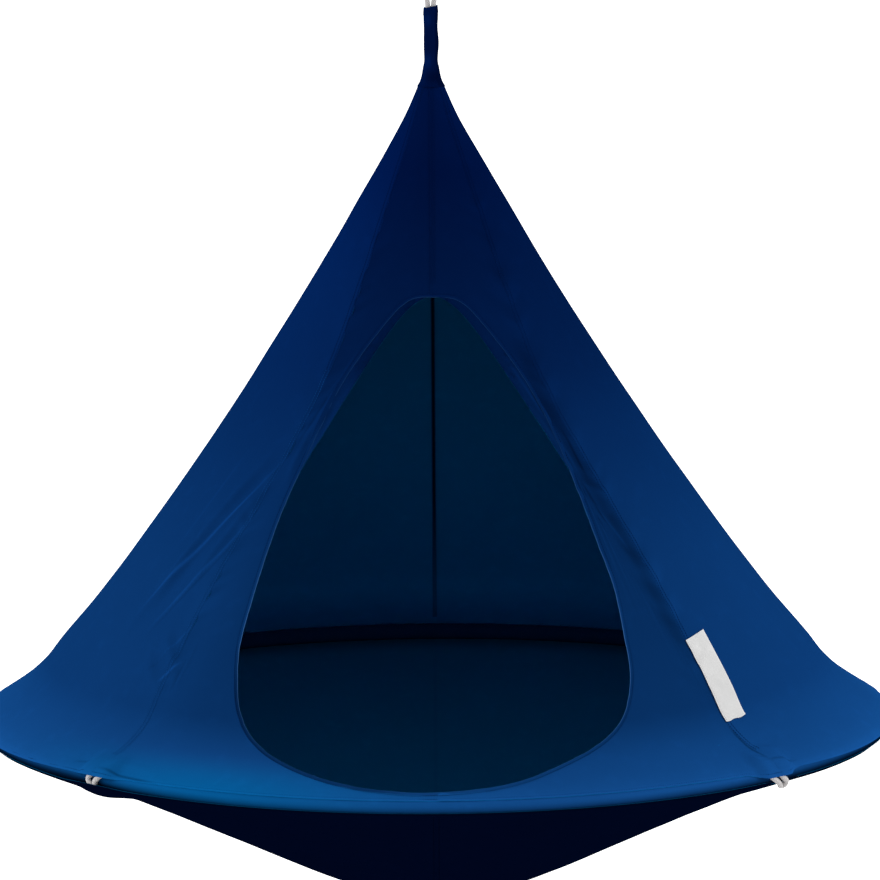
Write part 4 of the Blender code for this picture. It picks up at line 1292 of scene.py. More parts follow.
    def crease_relief(self, azimuth: Array, run: Array) -> Array:
        """Return the height of the tension lines.

        Args:
            azimuth: in degrees.
            run: down the slope.

        Returns:
            The heights.
        """
        total = np.zeros(np.broadcast(azimuth, run).shape)
        for crease in self.CREASES:
            sideways, fade = self.beside(crease, azimuth, run)
            width = crease.width
            shape = bell(sideways, width) - 0.55 * bell(sideways - 1.7 * width, 1.3 * width)
            total += crease.depth * fade * shape
        return total

    def painted_light_and_seam_line(self, height: Array) -> Array:
        """Return how much the sun has faded the cloth, by height."""
        return np.interp(height, self.FADE_HEIGHTS, self.FADE_SHARES)

    def painted_bounce(self, height: Array) -> Array:
        """Return the painted bounced light on the lining, by height: lighter near the ring and painted shade
        high up.
        """
        return np.interp(height, self.BOUNCE_HEIGHTS, self.BOUNCE_SHARES)

    def painted_sheen(self, azimuth: Array, height: Array) -> Array:
        """Return the share of painted cyan sheen just above the ring, on the doorway's left."""
        return bell(turned(azimuth) + 29.0, 21.0) * (1.0 - ramp(0.014, 0.058, height))

    def puckers(self, number: int, azimuth: Array, run: Array) -> Array:
        """Return the puckers that run out of a seam, between -1 and 1.

        Args:
            number: the seam's number.
            azimuth: in degrees.
            run: down the slope.

        Returns:
            The puckers.
        """
        azimuth, run = matched(azimuth, run)
        height = self.height_at(run)
        away = self.seam_distance(number, azimuth, run)
        place = [run / 0.016 + np.abs(away) / 0.022, azimuth * 0.02 + number, run * 0.0]
        gather = bell(away, 0.026) * ramp(0.05, 0.25, height) * (1.0 - ramp(0.75, 0.95, height))
        return gather * self.noise(np.stack(place, axis=-1), 1.0)

    def relief(self, azimuth: Array, run: Array) -> Array:
        """Return how far the cloth stands off the smooth canopy.

        Args:
            azimuth: in degrees.
            run: down the slope.

        Returns:
            The heights.
        """
        azimuth, run = matched(azimuth, run)
        spot = self.base(azimuth, run)
        rim = self.edge_run(azimuth) - run
        free = ramp(0.0, 0.06, run) * ramp(0.0, 0.05, rim)
        total = free * (0.0012 * self.noise(spot, 0.19) + 0.0007 * self.noise(spot + 3.1, 0.075))
        for number, strength in self.PUCKERED:
            total += strength * self.puckers(number, azimuth, run)
        around = np.radians(azimuth) * self.ring_radius
        ripple = self.noise(np.stack([around / 0.021, rim / 0.05, around * 0.0], axis=-1), 1.0)
        total += 0.0005 * ripple * bell(rim - 0.02, 0.022)
        total += 0.0004 * bell(rim - 0.012, 0.006) - 0.0005 * bell(rim - 0.004, 0.0016)
        to_corner = np.abs(azimuth % 90.0 - self.corner)
        near_tube = 1.0 - ramp(0.008, 0.055, self.slope_length - run)
        total += self.loop_lift * (1.0 - ramp(1.7, 3.6, to_corner)) * near_tube
        return total + self.crease_relief(azimuth, run)

    def skin(self, azimuth: Array, run: Array, lift: Array | float = 0.0) -> tuple[Array, Array]:
        """Return points of the finished canopy's middle surface, lifted off it, and its normals."""
        normal = self.normal(azimuth, run)
        return self.base(azimuth, run) + normal * (self.relief(azimuth, run) + lift)[..., None], normal

    def door_place(self, outline: Array) -> tuple[Array, Array]:
        """Return azimuth and distance down the slope of doorway points given as x and height.

        Args:
            outline: the points, as x and height.

        Returns:
            The azimuths and the distances.
        """
        height = np.maximum(outline[:, 1], self.heights[-1])
        reach = self.radius_at(height)
        for _ in range(13):
            azimuth = np.degrees(np.arcsin(np.clip(outline[:, 0] / reach, -0.99, 0.99)))
            reach = self.reach_at(azimuth, height)
        return azimuth, self.run_at(height)


@dataclass
class Maker:
    """A maker of pieces, with the tent's shape, its finishes and its stitches at hand."""

    form: TentForm
    wardrobe: Wardrobe
    seamstress: Seamstress


@dataclass
class Canopy(Maker):
    """The six canvas panels of the cone."""

    thickness: float = 0.0009
    under: float = 0.008
    lap: float = 0.0005
    tuck: float = 0.0011
    row_step: float = 0.0072
    column_step: float = 0.5
    widest_lap: float = 12.0
    front_lap: float = 0.004
    into_binding: float = 0.0025
    shoulder: float = 0.690
    rim_band: float = 0.12
    front_width: float = 0.42
    front_area: float = 0.20
    # Painted light and shade by panel and height: the front darker, the left side lighter high up, the right
    # side darker high up.
    PAINTED_SHADING_HEIGHTS = (0.0, 0.05, 0.10, 0.30, 0.50, 0.60, 0.75, 0.90, 1.04)
    PANEL_PAINTED_SHADING = {
        "front": (0.0, 0.0, -0.20, -0.24, -0.22, -0.18, -0.20, -0.15, 0.0),
        "side_left": (-0.04, -0.06, -0.12, -0.08, 0.0, 0.10, 0.25, 0.20, 0.0),
        "side_right": (0.0, 0.0, 0.0, -0.02, -0.08, -0.16, -0.22, -0.20, 0.0),
        "rear": (0.0,) * 9,
    }

    def marks(self, azimuth: Array, run: Array, part: str) -> dict[str, Array]:
        """Return the cloth's painted light, sheen and shading, its painted folds and where its edge is
        rubbed.

        Args:
            azimuth: in degrees.
            run: down the slope.
            part: which set of painted shades the panel takes.

        Returns:
            The marks of each point, by name.
        """
        form = self.form
        height = form.height_at(run)
        tone = np.interp(height, self.PAINTED_SHADING_HEIGHTS, self.PANEL_PAINTED_SHADING[part])
        # Near the left front seam the front takes the left side's painted shading, so that the seam shows no
        # step.
        if part == "front":
            beside = np.abs(form.seam_distance(5, azimuth, run))
            joined = (1.0 - ramp(0.015, 0.10, beside)) * (1.0 - ramp(0.50, 0.62, height))
            side = np.interp(height, self.PAINTED_SHADING_HEIGHTS, self.PANEL_PAINTED_SHADING["side_left"])
            tone += (side - tone) * joined * (turned(azimuth) < 0.0)
        # Painted highlights and shadows on the puckers by the front seams, and painted shade on the doorway
        # side of the right front seam.
        tone += 0.16 * form.puckers(1, azimuth, run) + 0.10 * form.puckers(5, azimuth, run)
        beside = form.seam_distance(1, azimuth, run)
        shaded = ramp(0.16, 0.24, height) * (1.0 - ramp(0.55, 0.68, height))
        tone -= 0.22 * shaded * bell(beside + 0.012, 0.013)
        # The painted folds, then the painted light, sheen and bounced light of the cloth by height.
        line, line_shade = form.strokes(azimuth, run)
        return {
            "line": line,
            "line_shade": line_shade,
            "painted_light_and_seam_line": form.painted_light_and_seam_line(height),
            "tone": tone,
            "painted_sheen": form.painted_sheen(azimuth, height),
            "painted_bounce": form.painted_bounce(height),
            "wear": 0.5 * bell(form.edge_run(azimuth) - run, 0.006),
        }

    def lifts(self, azimuth: Array, run: Array, over: Seams, under: Seams) -> Array:
        """Return how far a panel is raised or lowered beside the seams where it laps.

        Args:
            azimuth: in degrees.
            run: down the slope.
            over: the seams that the panel laps over.
            under: the seams that it goes under.

        Returns:
            The heights.
        """
        total = np.zeros(azimuth.shape)
        for numbers, sign in ((over, 1.0), (under, -1.0)):
            for number in numbers:
                away = np.abs(self.form.seam_distance(number, azimuth, run))
                total += sign * self.lap * (1.0 - ramp(0.010, 0.028, away))
                if sign > 0.0:
                    total -= self.tuck * (1.0 - ramp(0.0, 0.0060, away))
        return total

    def panel(self, name: str, azimuth: Array, run: Array, over: Seams, under: Seams, middle: float) -> Piece:
        """Make a panel from its grid of azimuths and runs.

        Args:
            name: the piece's name.
            azimuth: in degrees.
            run: down the slope.
            over: the seams that it laps over.
            under: the seams that it goes under.
            middle: the azimuth of its middle.

        Returns:
            The piece.
        """
        points, normals = self.form.skin(azimuth, run, self.lifts(azimuth, run, over, under))
        radius = self.form.radius_at(self.form.height_at(run))
        across = np.radians(turned(azimuth - middle)) * radius
        part = "front" if "front" in name else "rear" if "rear" in name else name.removeprefix("canopy_")
        sheet = Sheet(points, normals, np.stack([across, run], axis=-1), self.marks(azimuth, run, part))
        panel = make_shell(name, sheet, self.thickness, self.wardrobe.canopy)
        return mount(panel, TENT_BODY, Slot.CANOPY, name)

    def between_seams(self, name: str, first: int, second: int, over: Seams, under: Seams) -> Piece:
        """Make a side or rear panel between two seams.

        Args:
            name: the piece's name.
            first: the seam where it starts.
            second: the seam where it ends.
            over: the seams that it laps over.
            under: the seams that it goes under.

        Returns:
            The piece.
        """
        form = self.form
        width = float(form.seam(second, np.array(0.0)) - form.seam(first, np.array(0.0)))
        columns = round(width / self.column_step) + 1
        even = np.linspace(0.0, 1.0, columns)
        share = (even - 0.04 * np.sin(2.0 * np.pi * even))[:, None]
        rows = round(form.slope_length / self.row_step) + 4
        drop = np.linspace(0.0, 1.0, rows)[None, :]
        low = form.seam(first, form.height_at(drop * form.slope_length))
        high = form.seam(second, form.height_at(drop * form.slope_length))
        reach = np.degrees(self.under / form.radius_at(form.height_at(drop * form.slope_length)))
        reach = np.minimum(reach, self.widest_lap)
        low = low - reach if first in under else low
        high = high + reach if second in under else high
        azimuth = low + (high - low) * share
        run = drop * form.edge_run(azimuth)
        middle = float((low[0, -1] + high[0, -1]) / 2)
        panel = self.panel(name, azimuth, run, over, under, middle)
        return panel

    def front_half(self, side: Side) -> Piece:
        """Make the half of the front panel beside the doorway.

        Args:
            side: which half it is.

        Returns:
            The piece.
        """
        form = self.form
        sign = side.value
        outline = form.door_right if side is Side.RIGHT else form.door_left
        azimuth, run = form.door_place(outline)
        edge = np.stack([np.radians(azimuth) * form.ring_radius, run], axis=1)
        outward = np.gradient(edge, axis=0)[:, ::-1] * [sign, -sign]
        grown = edge + unit(outward) * self.into_binding
        grown[:, 0] = sign * np.maximum(sign * grown[:, 0], 0.0)
        door = np.stack([np.degrees(grown[:, 0] / form.ring_radius), grown[:, 1]], axis=1)
        low_corner = int(np.argmax(outline[:, 1] < self.rim_band))
        top_count, side_count, rim_count = 64, 120, 96
        top_run = np.linspace(0.0, door[0, 1], top_count, endpoint=False)
        flap = np.degrees(self.front_lap / np.maximum(form.radius_at(form.height_at(top_run)), 0.02))
        inner = np.concatenate(
            [
                np.stack([-sign * flap, top_run], axis=1),
                resampled(door[: low_corner + 1], side_count)[:-1],
                resampled(door[low_corner:], rim_count),
            ]
        )
        shoulder = float(form.run_at(self.shoulder))
        corner_edge = float(form.edge_run(np.array(sign * form.corner)))
        seam_run = np.concatenate(
            [
                np.linspace(0.0, shoulder, top_count, endpoint=False),
                np.linspace(shoulder, corner_edge, side_count)[:-1],
            ]
        )
        seam_height = form.height_at(seam_run)
        reach = np.minimum(np.degrees(self.under / form.radius_at(seam_height)), self.widest_lap)
        seam_azimuth = form.front_seam(seam_height) + reach
        rim_azimuth = np.linspace(seam_azimuth[-1], 0.0, rim_count)
        outer = np.concatenate(
            [
                np.stack([sign * seam_azimuth, seam_run], axis=1),
                np.stack([sign * rim_azimuth, form.edge_run(sign * rim_azimuth)], axis=1),
            ]
        )
        even = np.linspace(0.0, 1.0, 68)
        share = even - 0.06 * np.sin(2.0 * np.pi * even)
        grid = inner[None] + (outer - inner)[None] * share[:, None, None]
        name = f"canopy_front_{side.name.lower()}"
        corner_seam = 1 if side is Side.RIGHT else 5
        over = (0,) if side is Side.RIGHT else ()
        under = (corner_seam,) if side is Side.RIGHT else (corner_seam, 0)
        panel = self.panel(name, grid[..., 0], grid[..., 1], over, under, 0.0)
        return panel

    def build(self) -> None:
        """Make the six panels. The side panels lap over the front and rear ones."""
        self.front_half(Side.RIGHT)
        self.front_half(Side.LEFT)
        self.between_seams("canopy_side_right", 1, 2, over=(1, 2), under=())
        self.between_seams("canopy_side_left", 4, 5, over=(4, 5), under=())
        self.between_seams("canopy_rear_right", 2, 3, over=(3,), under=(2,))
        self.between_seams("canopy_rear_left", 3, 4, over=(), under=(3, 4))


# Stitching


class StitchTree:
    """The Geometry Nodes tree that sews stitches along paths."""

    def __init__(self) -> None:
        """Build the tree."""
        tree = bpy.data.node_groups.new("sewn_stitches", "GeometryNodeTree")
        face = tree.interface
        face.new_socket("Geometry", in_out="INPUT", socket_type="NodeSocketGeometry")
        for label, value in (("Pitch", 0.004), ("Stitch Length", 0.003), ("Thread Width", 0.0007)):
            socket = face.new_socket(label, in_out="INPUT", socket_type="NodeSocketFloat")
            socket.default_value = value
        face.new_socket("Thread", in_out="INPUT", socket_type="NodeSocketMaterial")
        face.new_socket("Geometry", in_out="OUTPUT", socket_type="NodeSocketGeometry")
        graph = Graph(tree)
        source = graph.add("NodeGroupInput")
        sink = graph.add("NodeGroupOutput")
        given = source.outputs
        curve = graph.add("GeometryNodeMeshToCurve", {"Mesh": given["Geometry"]})
        inputs = {"Curve": curve.outputs["Curve"], "Length": given["Pitch"]}
        spaced = graph.add("GeometryNodeResampleCurve", inputs, mode="LENGTH")
        facing = graph.add("GeometryNodeInputNamedAttribute", {"Name": "facing"}, data_type="FLOAT_VECTOR")
        tangent = graph.add("GeometryNodeInputTangent")
        first = graph.add("FunctionNodeAlignRotationToVector", {"Vector": tangent.outputs[0]}, axis="X")
        inputs = {"Rotation": first.outputs[0], "Vector": facing.outputs["Attribute"]}
        second = graph.add("FunctionNodeAlignRotationToVector", inputs, axis="Z", pivot_axis="X")
        bead = graph.add("GeometryNodeMeshUVSphere", {"Segments": 6, "Rings": 4, "Radius": 0.5})
        uneven = graph.add("FunctionNodeRandomValue", {2: 0.9, 3: 1.1, "Seed": 11}, data_type="FLOAT")
        long = graph.math("MULTIPLY", given["Stitch Length"], uneven.outputs[1])
        inputs = {"X": long, "Y": given["Thread Width"], "Z": given["Thread Width"]}
        size = graph.add("ShaderNodeCombineXYZ", inputs)
        inputs = {
            "Points": spaced.outputs[0],
            "Instance": bead.outputs["Mesh"],
            "Rotation": second.outputs[0],
            "Scale": size.outputs[0],
        }
        sewn = graph.add("GeometryNodeInstanceOnPoints", inputs)
        real = graph.add("GeometryNodeRealizeInstances", {"Geometry": sewn.outputs[0]})
        smooth = graph.add("GeometryNodeSetShadeSmooth", {"Geometry": real.outputs[0]})
        inputs = {"Geometry": smooth.outputs[0], "Material": given["Thread"]}
        dressed = graph.add("GeometryNodeSetMaterial", inputs)
        graph.feed(sink.inputs[0], dressed.outputs[0])
        self.tree = tree
        self.sockets = {item.name: item.identifier for item in face.items_tree if item.in_out == "INPUT"}


@dataclass
class Seamstress:
    """Sews rows of stitches."""

    tree: StitchTree

    def sew(
        self,
        name: str,
        rows: list[Row],
        thread: Material,
        slot: Slot,
        pitch: float = 0.0042,
        length: float = 0.0033,
        width: float = 0.0008,
    ) -> Piece:
        """Sew rows of stitches as one piece.

        Args:
            name: the piece's name.
            rows: for each row, the points of its path and the direction that each faces.
            thread: the thread's material.
            slot: the record's slot.
            pitch: the distance from stitch to stitch.
            length: the length of a stitch.
            width: the thread's width.

        Returns:
            The piece, riding on the tent.
        """
        points = []
        edges = []
        facing = []
        for path, normals in rows:
            start = len(points)
            points += path.tolist()
            facing += normals.tolist()
            edges += [(start + index, start + index + 1) for index in range(len(path) - 1)]
        mesh = bpy.data.meshes.new(name)
        mesh.from_pydata(points, edges, [])
        attribute = mesh.attributes.new("facing", "FLOAT_VECTOR", "POINT")
        attribute.data.foreach_set("vector", np.array(facing, np.float32).ravel())
        thing = put(name + "_path", mesh)
        modifier = thing.modifiers.new("stitches", "NODES")
        modifier.node_group = self.tree.tree
        sizes = {"Pitch": pitch, "Stitch Length": length, "Thread Width": width, "Thread": thread}
        for label, value in sizes.items():
            modifier[self.tree.sockets[label]] = value
        return mount(settled(thing, name), TENT_BODY, slot)


@dataclass
class Sewing(Maker):
    """All the rows of stitches on the canopy."""

    above: float = 0.0013
    step: float = 0.004
    rim_back: float = 0.0040
    rim_above: float = 0.0002
    door_away: float = 0.0045
    door_above: float = 0.0014
    RIGHT = (0.0018, 0.0082)
    LEFT = (-0.0018, -0.0082)
    # The lower left rows take a lighter copy of the thread, matching the cloth's painted light there; the
    # middle right rows a copy half way.
    ROWS = (
        ("front_right_high", 1, "thread", 0.78, 1.03, RIGHT),
        ("front_right_middle", 1, "middle_thread", 0.48, 0.78, RIGHT),
        ("front_right_low", 1, "thread", 0.035, 0.48, RIGHT),
        ("rear_right", 2, "thread", 0.035, 1.03, LEFT),
        ("rear_left", 4, "thread", 0.035, 1.03, RIGHT),
        ("front_left_high", 5, "thread", 0.60, 1.03, LEFT),
        ("front_left_low", 5, "sunned_thread", 0.035, 0.60, LEFT),
        ("rear", 3, "thread", 0.02, 1.03, (-0.0018, -0.0065)),
        ("front", 0, "thread", 0.735, 1.03, (-0.0022, 0.0030)),
    )

    def along_seam(self, number: int, offset: float, lift: float, low: float, high: float) -> Row:
        """Return a row beside a seam, between two heights.

        Args:
            number: the seam's number.
            offset: how far to the seam's right.
            lift: above the cloth's middle.
            low: where it ends.
            high: where it starts.

        Returns:
            The points and their normals.
        """
        form = self.form
        run = np.arange(float(form.run_at(high)), float(form.run_at(low)), self.step)
        height = form.height_at(run)
        azimuth = form.seam(number, height) + np.degrees(offset / form.radius_at(height))
        return form.skin(azimuth, run, lift)

    def around_rim(self, back: float, lift: float) -> Row:
        """Return a row along the canopy's edge.

        Args:
            back: how far up from the edge.
            lift: above the cloth's middle.

        Returns:
            The points and their normals.
        """
        azimuth = np.linspace(-180.0, 180.0, 1441)
        run = self.form.edge_run(azimuth) - back
        return self.form.skin(azimuth, run, lift)

    def around_door(self, away: float, lift: float) -> Row:
        """Return a row round the doorway, some way out from its edge.

        Args:
            away: how far out.
            lift: above the cloth's middle.

        Returns:
            The points and their normals.
        """
        form = self.form
        outline = np.concatenate([form.door_left, form.door_right[::-1]])
        outline = resampled(outline, 500)
        tangent = unit(np.gradient(outline, axis=0))
        grown = outline + tangent[:, ::-1] * [-1.0, 1.0] * -away
        azimuth, run = form.door_place(grown)
        return form.skin(azimuth, run, lift)

    def build(self) -> None:
        """Sew every row."""
        sew = self.seamstress.sew
        for label, number, thread, low, high, offsets in self.ROWS:
            rows = [self.along_seam(number, offset, self.above, low, high) for offset in offsets]
            sew(f"seam_stitches_{label}", rows, getattr(self.wardrobe, thread), Slot.CANOPY)
        thread = self.wardrobe.thread
        sew("rim_stitches", [self.around_rim(self.rim_back, self.rim_above)], thread, Slot.CANOPY)
        sew("door_stitches", [self.around_door(self.door_away, self.door_above)], thread, Slot.BINDING)


@dataclass
class DoorBinding(Maker):
    """The folded tape round the doorway."""

    width: float = 0.0065
    thickness: float = 0.0024

    def build(self) -> None:
        """Sweep the folded tape along the doorway's edge."""
        form = self.form
        outline = np.concatenate([form.door_left[:-1], form.door_right[::-1][:-1]])
        outline = resampled(np.concatenate([outline, outline[:1]]), 521)[:-1]
        azimuth, run = form.door_place(outline)
        centre, normal = form.skin(azimuth, run)
        along = unit(np.roll(centre, -1, axis=0) - np.roll(centre, 1, axis=0))
        outward = unit(np.cross(along, normal))
        if np.sum(outward * (centre - centre.mean(axis=0))) < 0.0:
            outward = -outward
        turn = 2.0 * np.pi * np.arange(14) / 14
        flat = np.sign(np.cos(turn)) * np.abs(np.cos(turn)) ** 0.6
        tall = np.sign(np.sin(turn)) * np.abs(np.sin(turn)) ** 0.75
        length = lengths_along(np.concatenate([centre, centre[:1]]))
        wave = 0.00035 * form.noise(np.stack([length[:-1] / 0.012] + [length[:-1] * 0.0] * 2, axis=-1), 1.0)
        wide = (self.width / 2) * (1.0 + flat[None, :]) + wave[:, None]
        high = (self.thickness / 2) * tall[None, :] * (1.0 - 0.25 * (flat[None, :] > 0.3))
        points = centre[:, None] + outward[:, None] * wide[..., None] + normal[:, None] * high[..., None]
        count, sides = points.shape[:2]
        column, row = corners(count, sides, True, True)
        quads = (column % count) * sides + row % sides
        uv = np.stack([row / sides * 0.018, length[column]], axis=-1)
        height = np.broadcast_to(form.height_at(run)[:, None], (count, sides))
        inner = np.broadcast_to((flat < -0.92)[None, :] * 1.0, (count, sides))
        # Painted shadow on the binding's lower left and painted shade over all of it; the painted light by
        # height follows the canopy.
        low_left = (1.0 - ramp(0.12, 0.24, height)) * (0.4 + 0.6 * ramp(2.0, 8.0, -turned(azimuth))[:, None])
        # Painted highlight on the binding's inner fold, fading towards the top.
        edge = inner * (0.75 - 0.50 * ramp(0.16, 0.45, height))
        marks = {"painted_light_and_seam_line": form.painted_light_and_seam_line(height), "tone": -0.08 - 0.45 * low_left, "edge": edge}
        points = points.reshape(-1, 3)
        binding = make_object("folded_door_binding", points, quads, uv, self.wardrobe.binding, marks)
        mount(binding, TENT_BODY, Slot.BINDING, "door_binding")


@dataclass
class RimSleeve(Maker):
    """The cloth channel round the tube, in four stretches between the rope loops."""

    thickness: float = 0.0010
    hair: float = 0.02
    round_radius: float = 0.014
    side_shift: float = 40.0
    # inner_bright and the two tables below set the painted light and shade round the tube.
    inner_bright: float = 0.34
    LEVELS = (-60.0, -45.0, -30.0, -20.0, 0.0, 12.0)
    BRIGHT = (0.05, 0.14, 0.38, 0.55, 0.85, 1.0)

    def spans(self) -> dict[str, tuple[float, float]]:
        """Return the azimuths where each stretch starts and ends."""
        corner = self.form.corner
        cuts = (-corner, corner, 180.0 - corner, 180.0 + corner, 360.0 - corner)
        sides = ("front", "right", "rear", "left")
        return {
            side: (cuts[index] + self.hair, cuts[index + 1] - self.hair) for index, side in enumerate(sides)
        }

    def build(self) -> None:
        """Make the four stretches."""
        form = self.form
        for side, (start, end) in self.spans().items():
            azimuth = np.linspace(start, end, round((end - start) / 0.4) + 1)
            azimuth, angle = matched(azimuth[None, :], (360.0 * np.arange(33) / 32)[:, None])
            spot = form.tube_point(azimuth, self.round_radius, angle)
            lump = 0.00016 * form.noise(spot, 0.028) + 0.0001 * form.noise(spot, 0.011)
            points, normals = form.tube_skin(azimuth, form.sleeve_outside - self.thickness / 2 + lump, angle)
            run = np.radians(azimuth) * form.ring_radius
            uv = np.stack([np.radians(angle) * self.round_radius, run], axis=-1)
            # Painted light and shade round the tube: light on its upper outer face, painted shade underneath
            # and on its inner side, darker towards the sides and by the left loop. The sleeve also takes the
            # canopy's lighter painted colour and its painted sheen.
            level = turned(angle)
            steeper = self.side_shift * ramp(5.0, 75.0, np.abs(turned(azimuth)))
            steeper = steeper + 15.0 * bell(turned(azimuth) + 49.0, 9.0)
            bright = np.interp(level - steeper, self.LEVELS, self.BRIGHT)
            inner = ramp(85.0, 115.0, np.abs(level))
            tone = bright * (1.0 - inner) + self.inner_bright * inner - 1.0
            low = azimuth * 0.0
            marks = {"painted_light_and_seam_line": low + 1.0, "tone": tone, "painted_sheen": form.painted_sheen(azimuth, low)}
            sheet = Sheet.joined(points, normals, uv, marks)
            sleeve = make_shell(f"rim_channel_{side}", sheet, self.thickness, self.wardrobe.sleeve)
            mount(sleeve, TENT_BODY, Slot.CANOPY, f"rim_sleeve_{side}")


@dataclass
class Floor(Maker):
    """The two halves of the floor's cone, its seam tape and its stitches."""

    thickness: float = 0.0012
    touch: float = 0.0149
    rim_slope: float = 20.0
    wrap: float = 38.0
    tucked: float = 314.4
    tucked_wrap: float = 24.0
    near: float = 0.3
    far: float = 3.6
    throat_near: float = -1.6
    throat_far: float = 3.1
    slit: float = 0.0265
    shallow_slit: float = 0.0030
    soften: int = 9
    gap: float = 0.0003
    stitch_side: float = 0.0042
    stitch_below: float = 0.0009
    hem_share: float = 0.996
    tape_width: float = 0.012
    tape_thickness: float = 0.0009
    tape_above: float = -0.0018

    PROFILE = ((0.0, -0.3405), (0.25, -0.2307), (0.45, -0.1333), (0.58, -0.0720))

    def __post_init__(self) -> None:
        """Work out the floor's section from its centre to the tube, with its bends eased."""
        angle = math.radians(self.rim_slope - 90.0)
        end = (self.form.ring_radius + self.touch * math.cos(angle), self.touch * math.sin(angle))
        section = resampled(np.array([*self.PROFILE, end]), 400)
        eased = section.copy()
        for _ in range(self.soften):
            eased[9:-9] = sum(section[9 + shift : len(section) - 9 + shift] for shift in (-9, 0, 9)) / 3.0
            section = eased.copy()
        self.section = section
        self.runs = lengths_along(section)
        self.straight = float(self.runs[-1])

    def slit_share(self, azimuth: Array, near: float, far: float) -> Array:
        """Return 1 at the corners where the floor's edge is cut for a loop, and 0 elsewhere.

        Args:
            azimuth: in degrees.
            near: how far before a corner the cut starts, in degrees.
            far: how far past it the cut goes.

        Returns:
            The shares.
        """
        share = np.zeros(np.shape(azimuth))
        corner = self.form.corner
        for middle, forward in ((corner, 1.0), (180.0 - corner, -1.0), (180.0 + corner, 1.0)):
            beside = (azimuth - middle) * forward
            inside = ramp(-near - 0.35, -near, beside) * (1.0 - ramp(far, far + 0.35, beside))
            share = np.maximum(share, inside)
        return share

    def section_at(self, run: Array) -> tuple[Array, Array]:
        """Return the section's distance from the axis and its height, by distance from its centre."""
        return tuple(np.interp(run, self.runs, self.section[:, axis]) for axis in (0, 1))

    def surface(self, azimuth: Array, share: Array, lift: float = 0.0) -> tuple[Array, Array]:
        """Return points of the floor and its outward normals.

        Args:
            azimuth: in degrees.
            share: of the way from the centre to the edge.
            lift: how far the points stand off it.

        Returns:
            The points and their normals.
        """
        form = self.form
        turn = np.radians(azimuth)
        beside = azimuth % 360.0 - self.tucked
        wrap = self.wrap + self.tucked_wrap * bell(beside, 3.6)
        full = self.straight + np.radians(wrap) * self.touch
        throat = self.slit_share(azimuth, self.throat_near, self.throat_far)
        depth = self.shallow_slit + (self.slit - self.shallow_slit) * throat
        edge = full + (self.straight - depth - full) * self.slit_share(azimuth, self.near, self.far)
        run = share * edge
        reach, height = self.section_at(run)
        ahead, higher = self.section_at(run + 0.002)
        behind, lower = self.section_at(run - 0.002)
        slope = np.arctan2(higher - lower, ahead - behind)
        angle = self.rim_slope - 90.0 + np.degrees(np.maximum(run - self.straight, 0.0) / self.touch)
        around, outward = form.tube_skin(azimuth, self.touch, angle)
        beyond = (run > self.straight)[..., None]
        points = np.where(beyond, around, polar(reach, turn, form.plane + height))
        normals = np.where(beyond, outward, polar(np.sin(slope), turn, -np.cos(slope)))
        free = ramp(0.0, 0.12, run) * ramp(0.0, 0.06, self.straight - run)
        stand = free * (0.0016 * form.noise(points, 0.17) + 0.0006 * form.noise(points, 0.06)) + lift
        over_rope = 0.0068 * bell(beside, 2.1) + 0.0028 * bell(beside + 1.2, 6.5)
        stand = stand + over_rope * ramp(self.straight - 0.075, self.straight - 0.015, run)
        return points + normals * stand[..., None], normals

    def halves(self) -> None:
        """Make the two halves."""
        form = self.form
        for side, start, sign in (("right", 0.0, -1.0), ("left", 180.0, 1.0)):
            azimuth = np.linspace(start, start + 180.0, 301)[:, None]
            share = (np.linspace(0.0, 1.0, 72) ** 0.9)[None, :]
            azimuth, share = matched(azimuth, np.maximum(share, 0.004))
            points, normals = self.surface(azimuth, share)
            points = points + np.array([sign * self.gap / 2, 0.0, 0.0])
            radius = np.hypot(points[..., 0], points[..., 1])
            uv = np.stack([points[..., 1], radius + points[..., 0]], axis=-1)
            # Painted shade on the floor's lining close to the tube.
            painted_bounce = -0.42 * bell(np.maximum(form.ring_radius - radius, 0.0), 0.026)
            sheet = Sheet(points, normals, uv, {"painted_bounce": painted_bounce})
            half = make_shell(f"floor_cone_{side}", sheet, self.thickness, self.wardrobe.floor)
            mount(half, TENT_BODY, Slot.FLOOR, f"floor_{side}")

    def stitches(self) -> None:
        """Sew the floor's seam, and its edge between the slits."""
        rows = []
        share = np.linspace(0.02, 0.985, 400)
        for sign in (-1.0, 1.0):
            for line in (0.0, 180.0):
                azimuth = np.full(share.shape, line)
                points, normals = self.surface(azimuth, share, self.stitch_below)
                points = points + np.array([sign * self.stitch_side, 0.0, 0.0])
                rows.append((points, normals))
        self.seamstress.sew("floor_stitches", rows, self.wardrobe.painted_shade_thread, Slot.FLOOR)
        azimuth = np.linspace(0.0, 360.0, 1441)
        hem = self.surface(azimuth, np.full(azimuth.shape, self.hem_share), self.stitch_below)
        keep = self.slit_share(azimuth, self.near, self.far) < 0.01
        runs = np.split(np.arange(len(azimuth)), np.where(np.diff(keep.astype(int)) != 0)[0] + 1)
        rows = [(hem[0][index], hem[1][index]) for index in runs if keep[index[0]] and len(index) > 4]
        self.seamstress.sew("floor_hem_stitches", rows, self.wardrobe.painted_shade_thread, Slot.FLOOR)

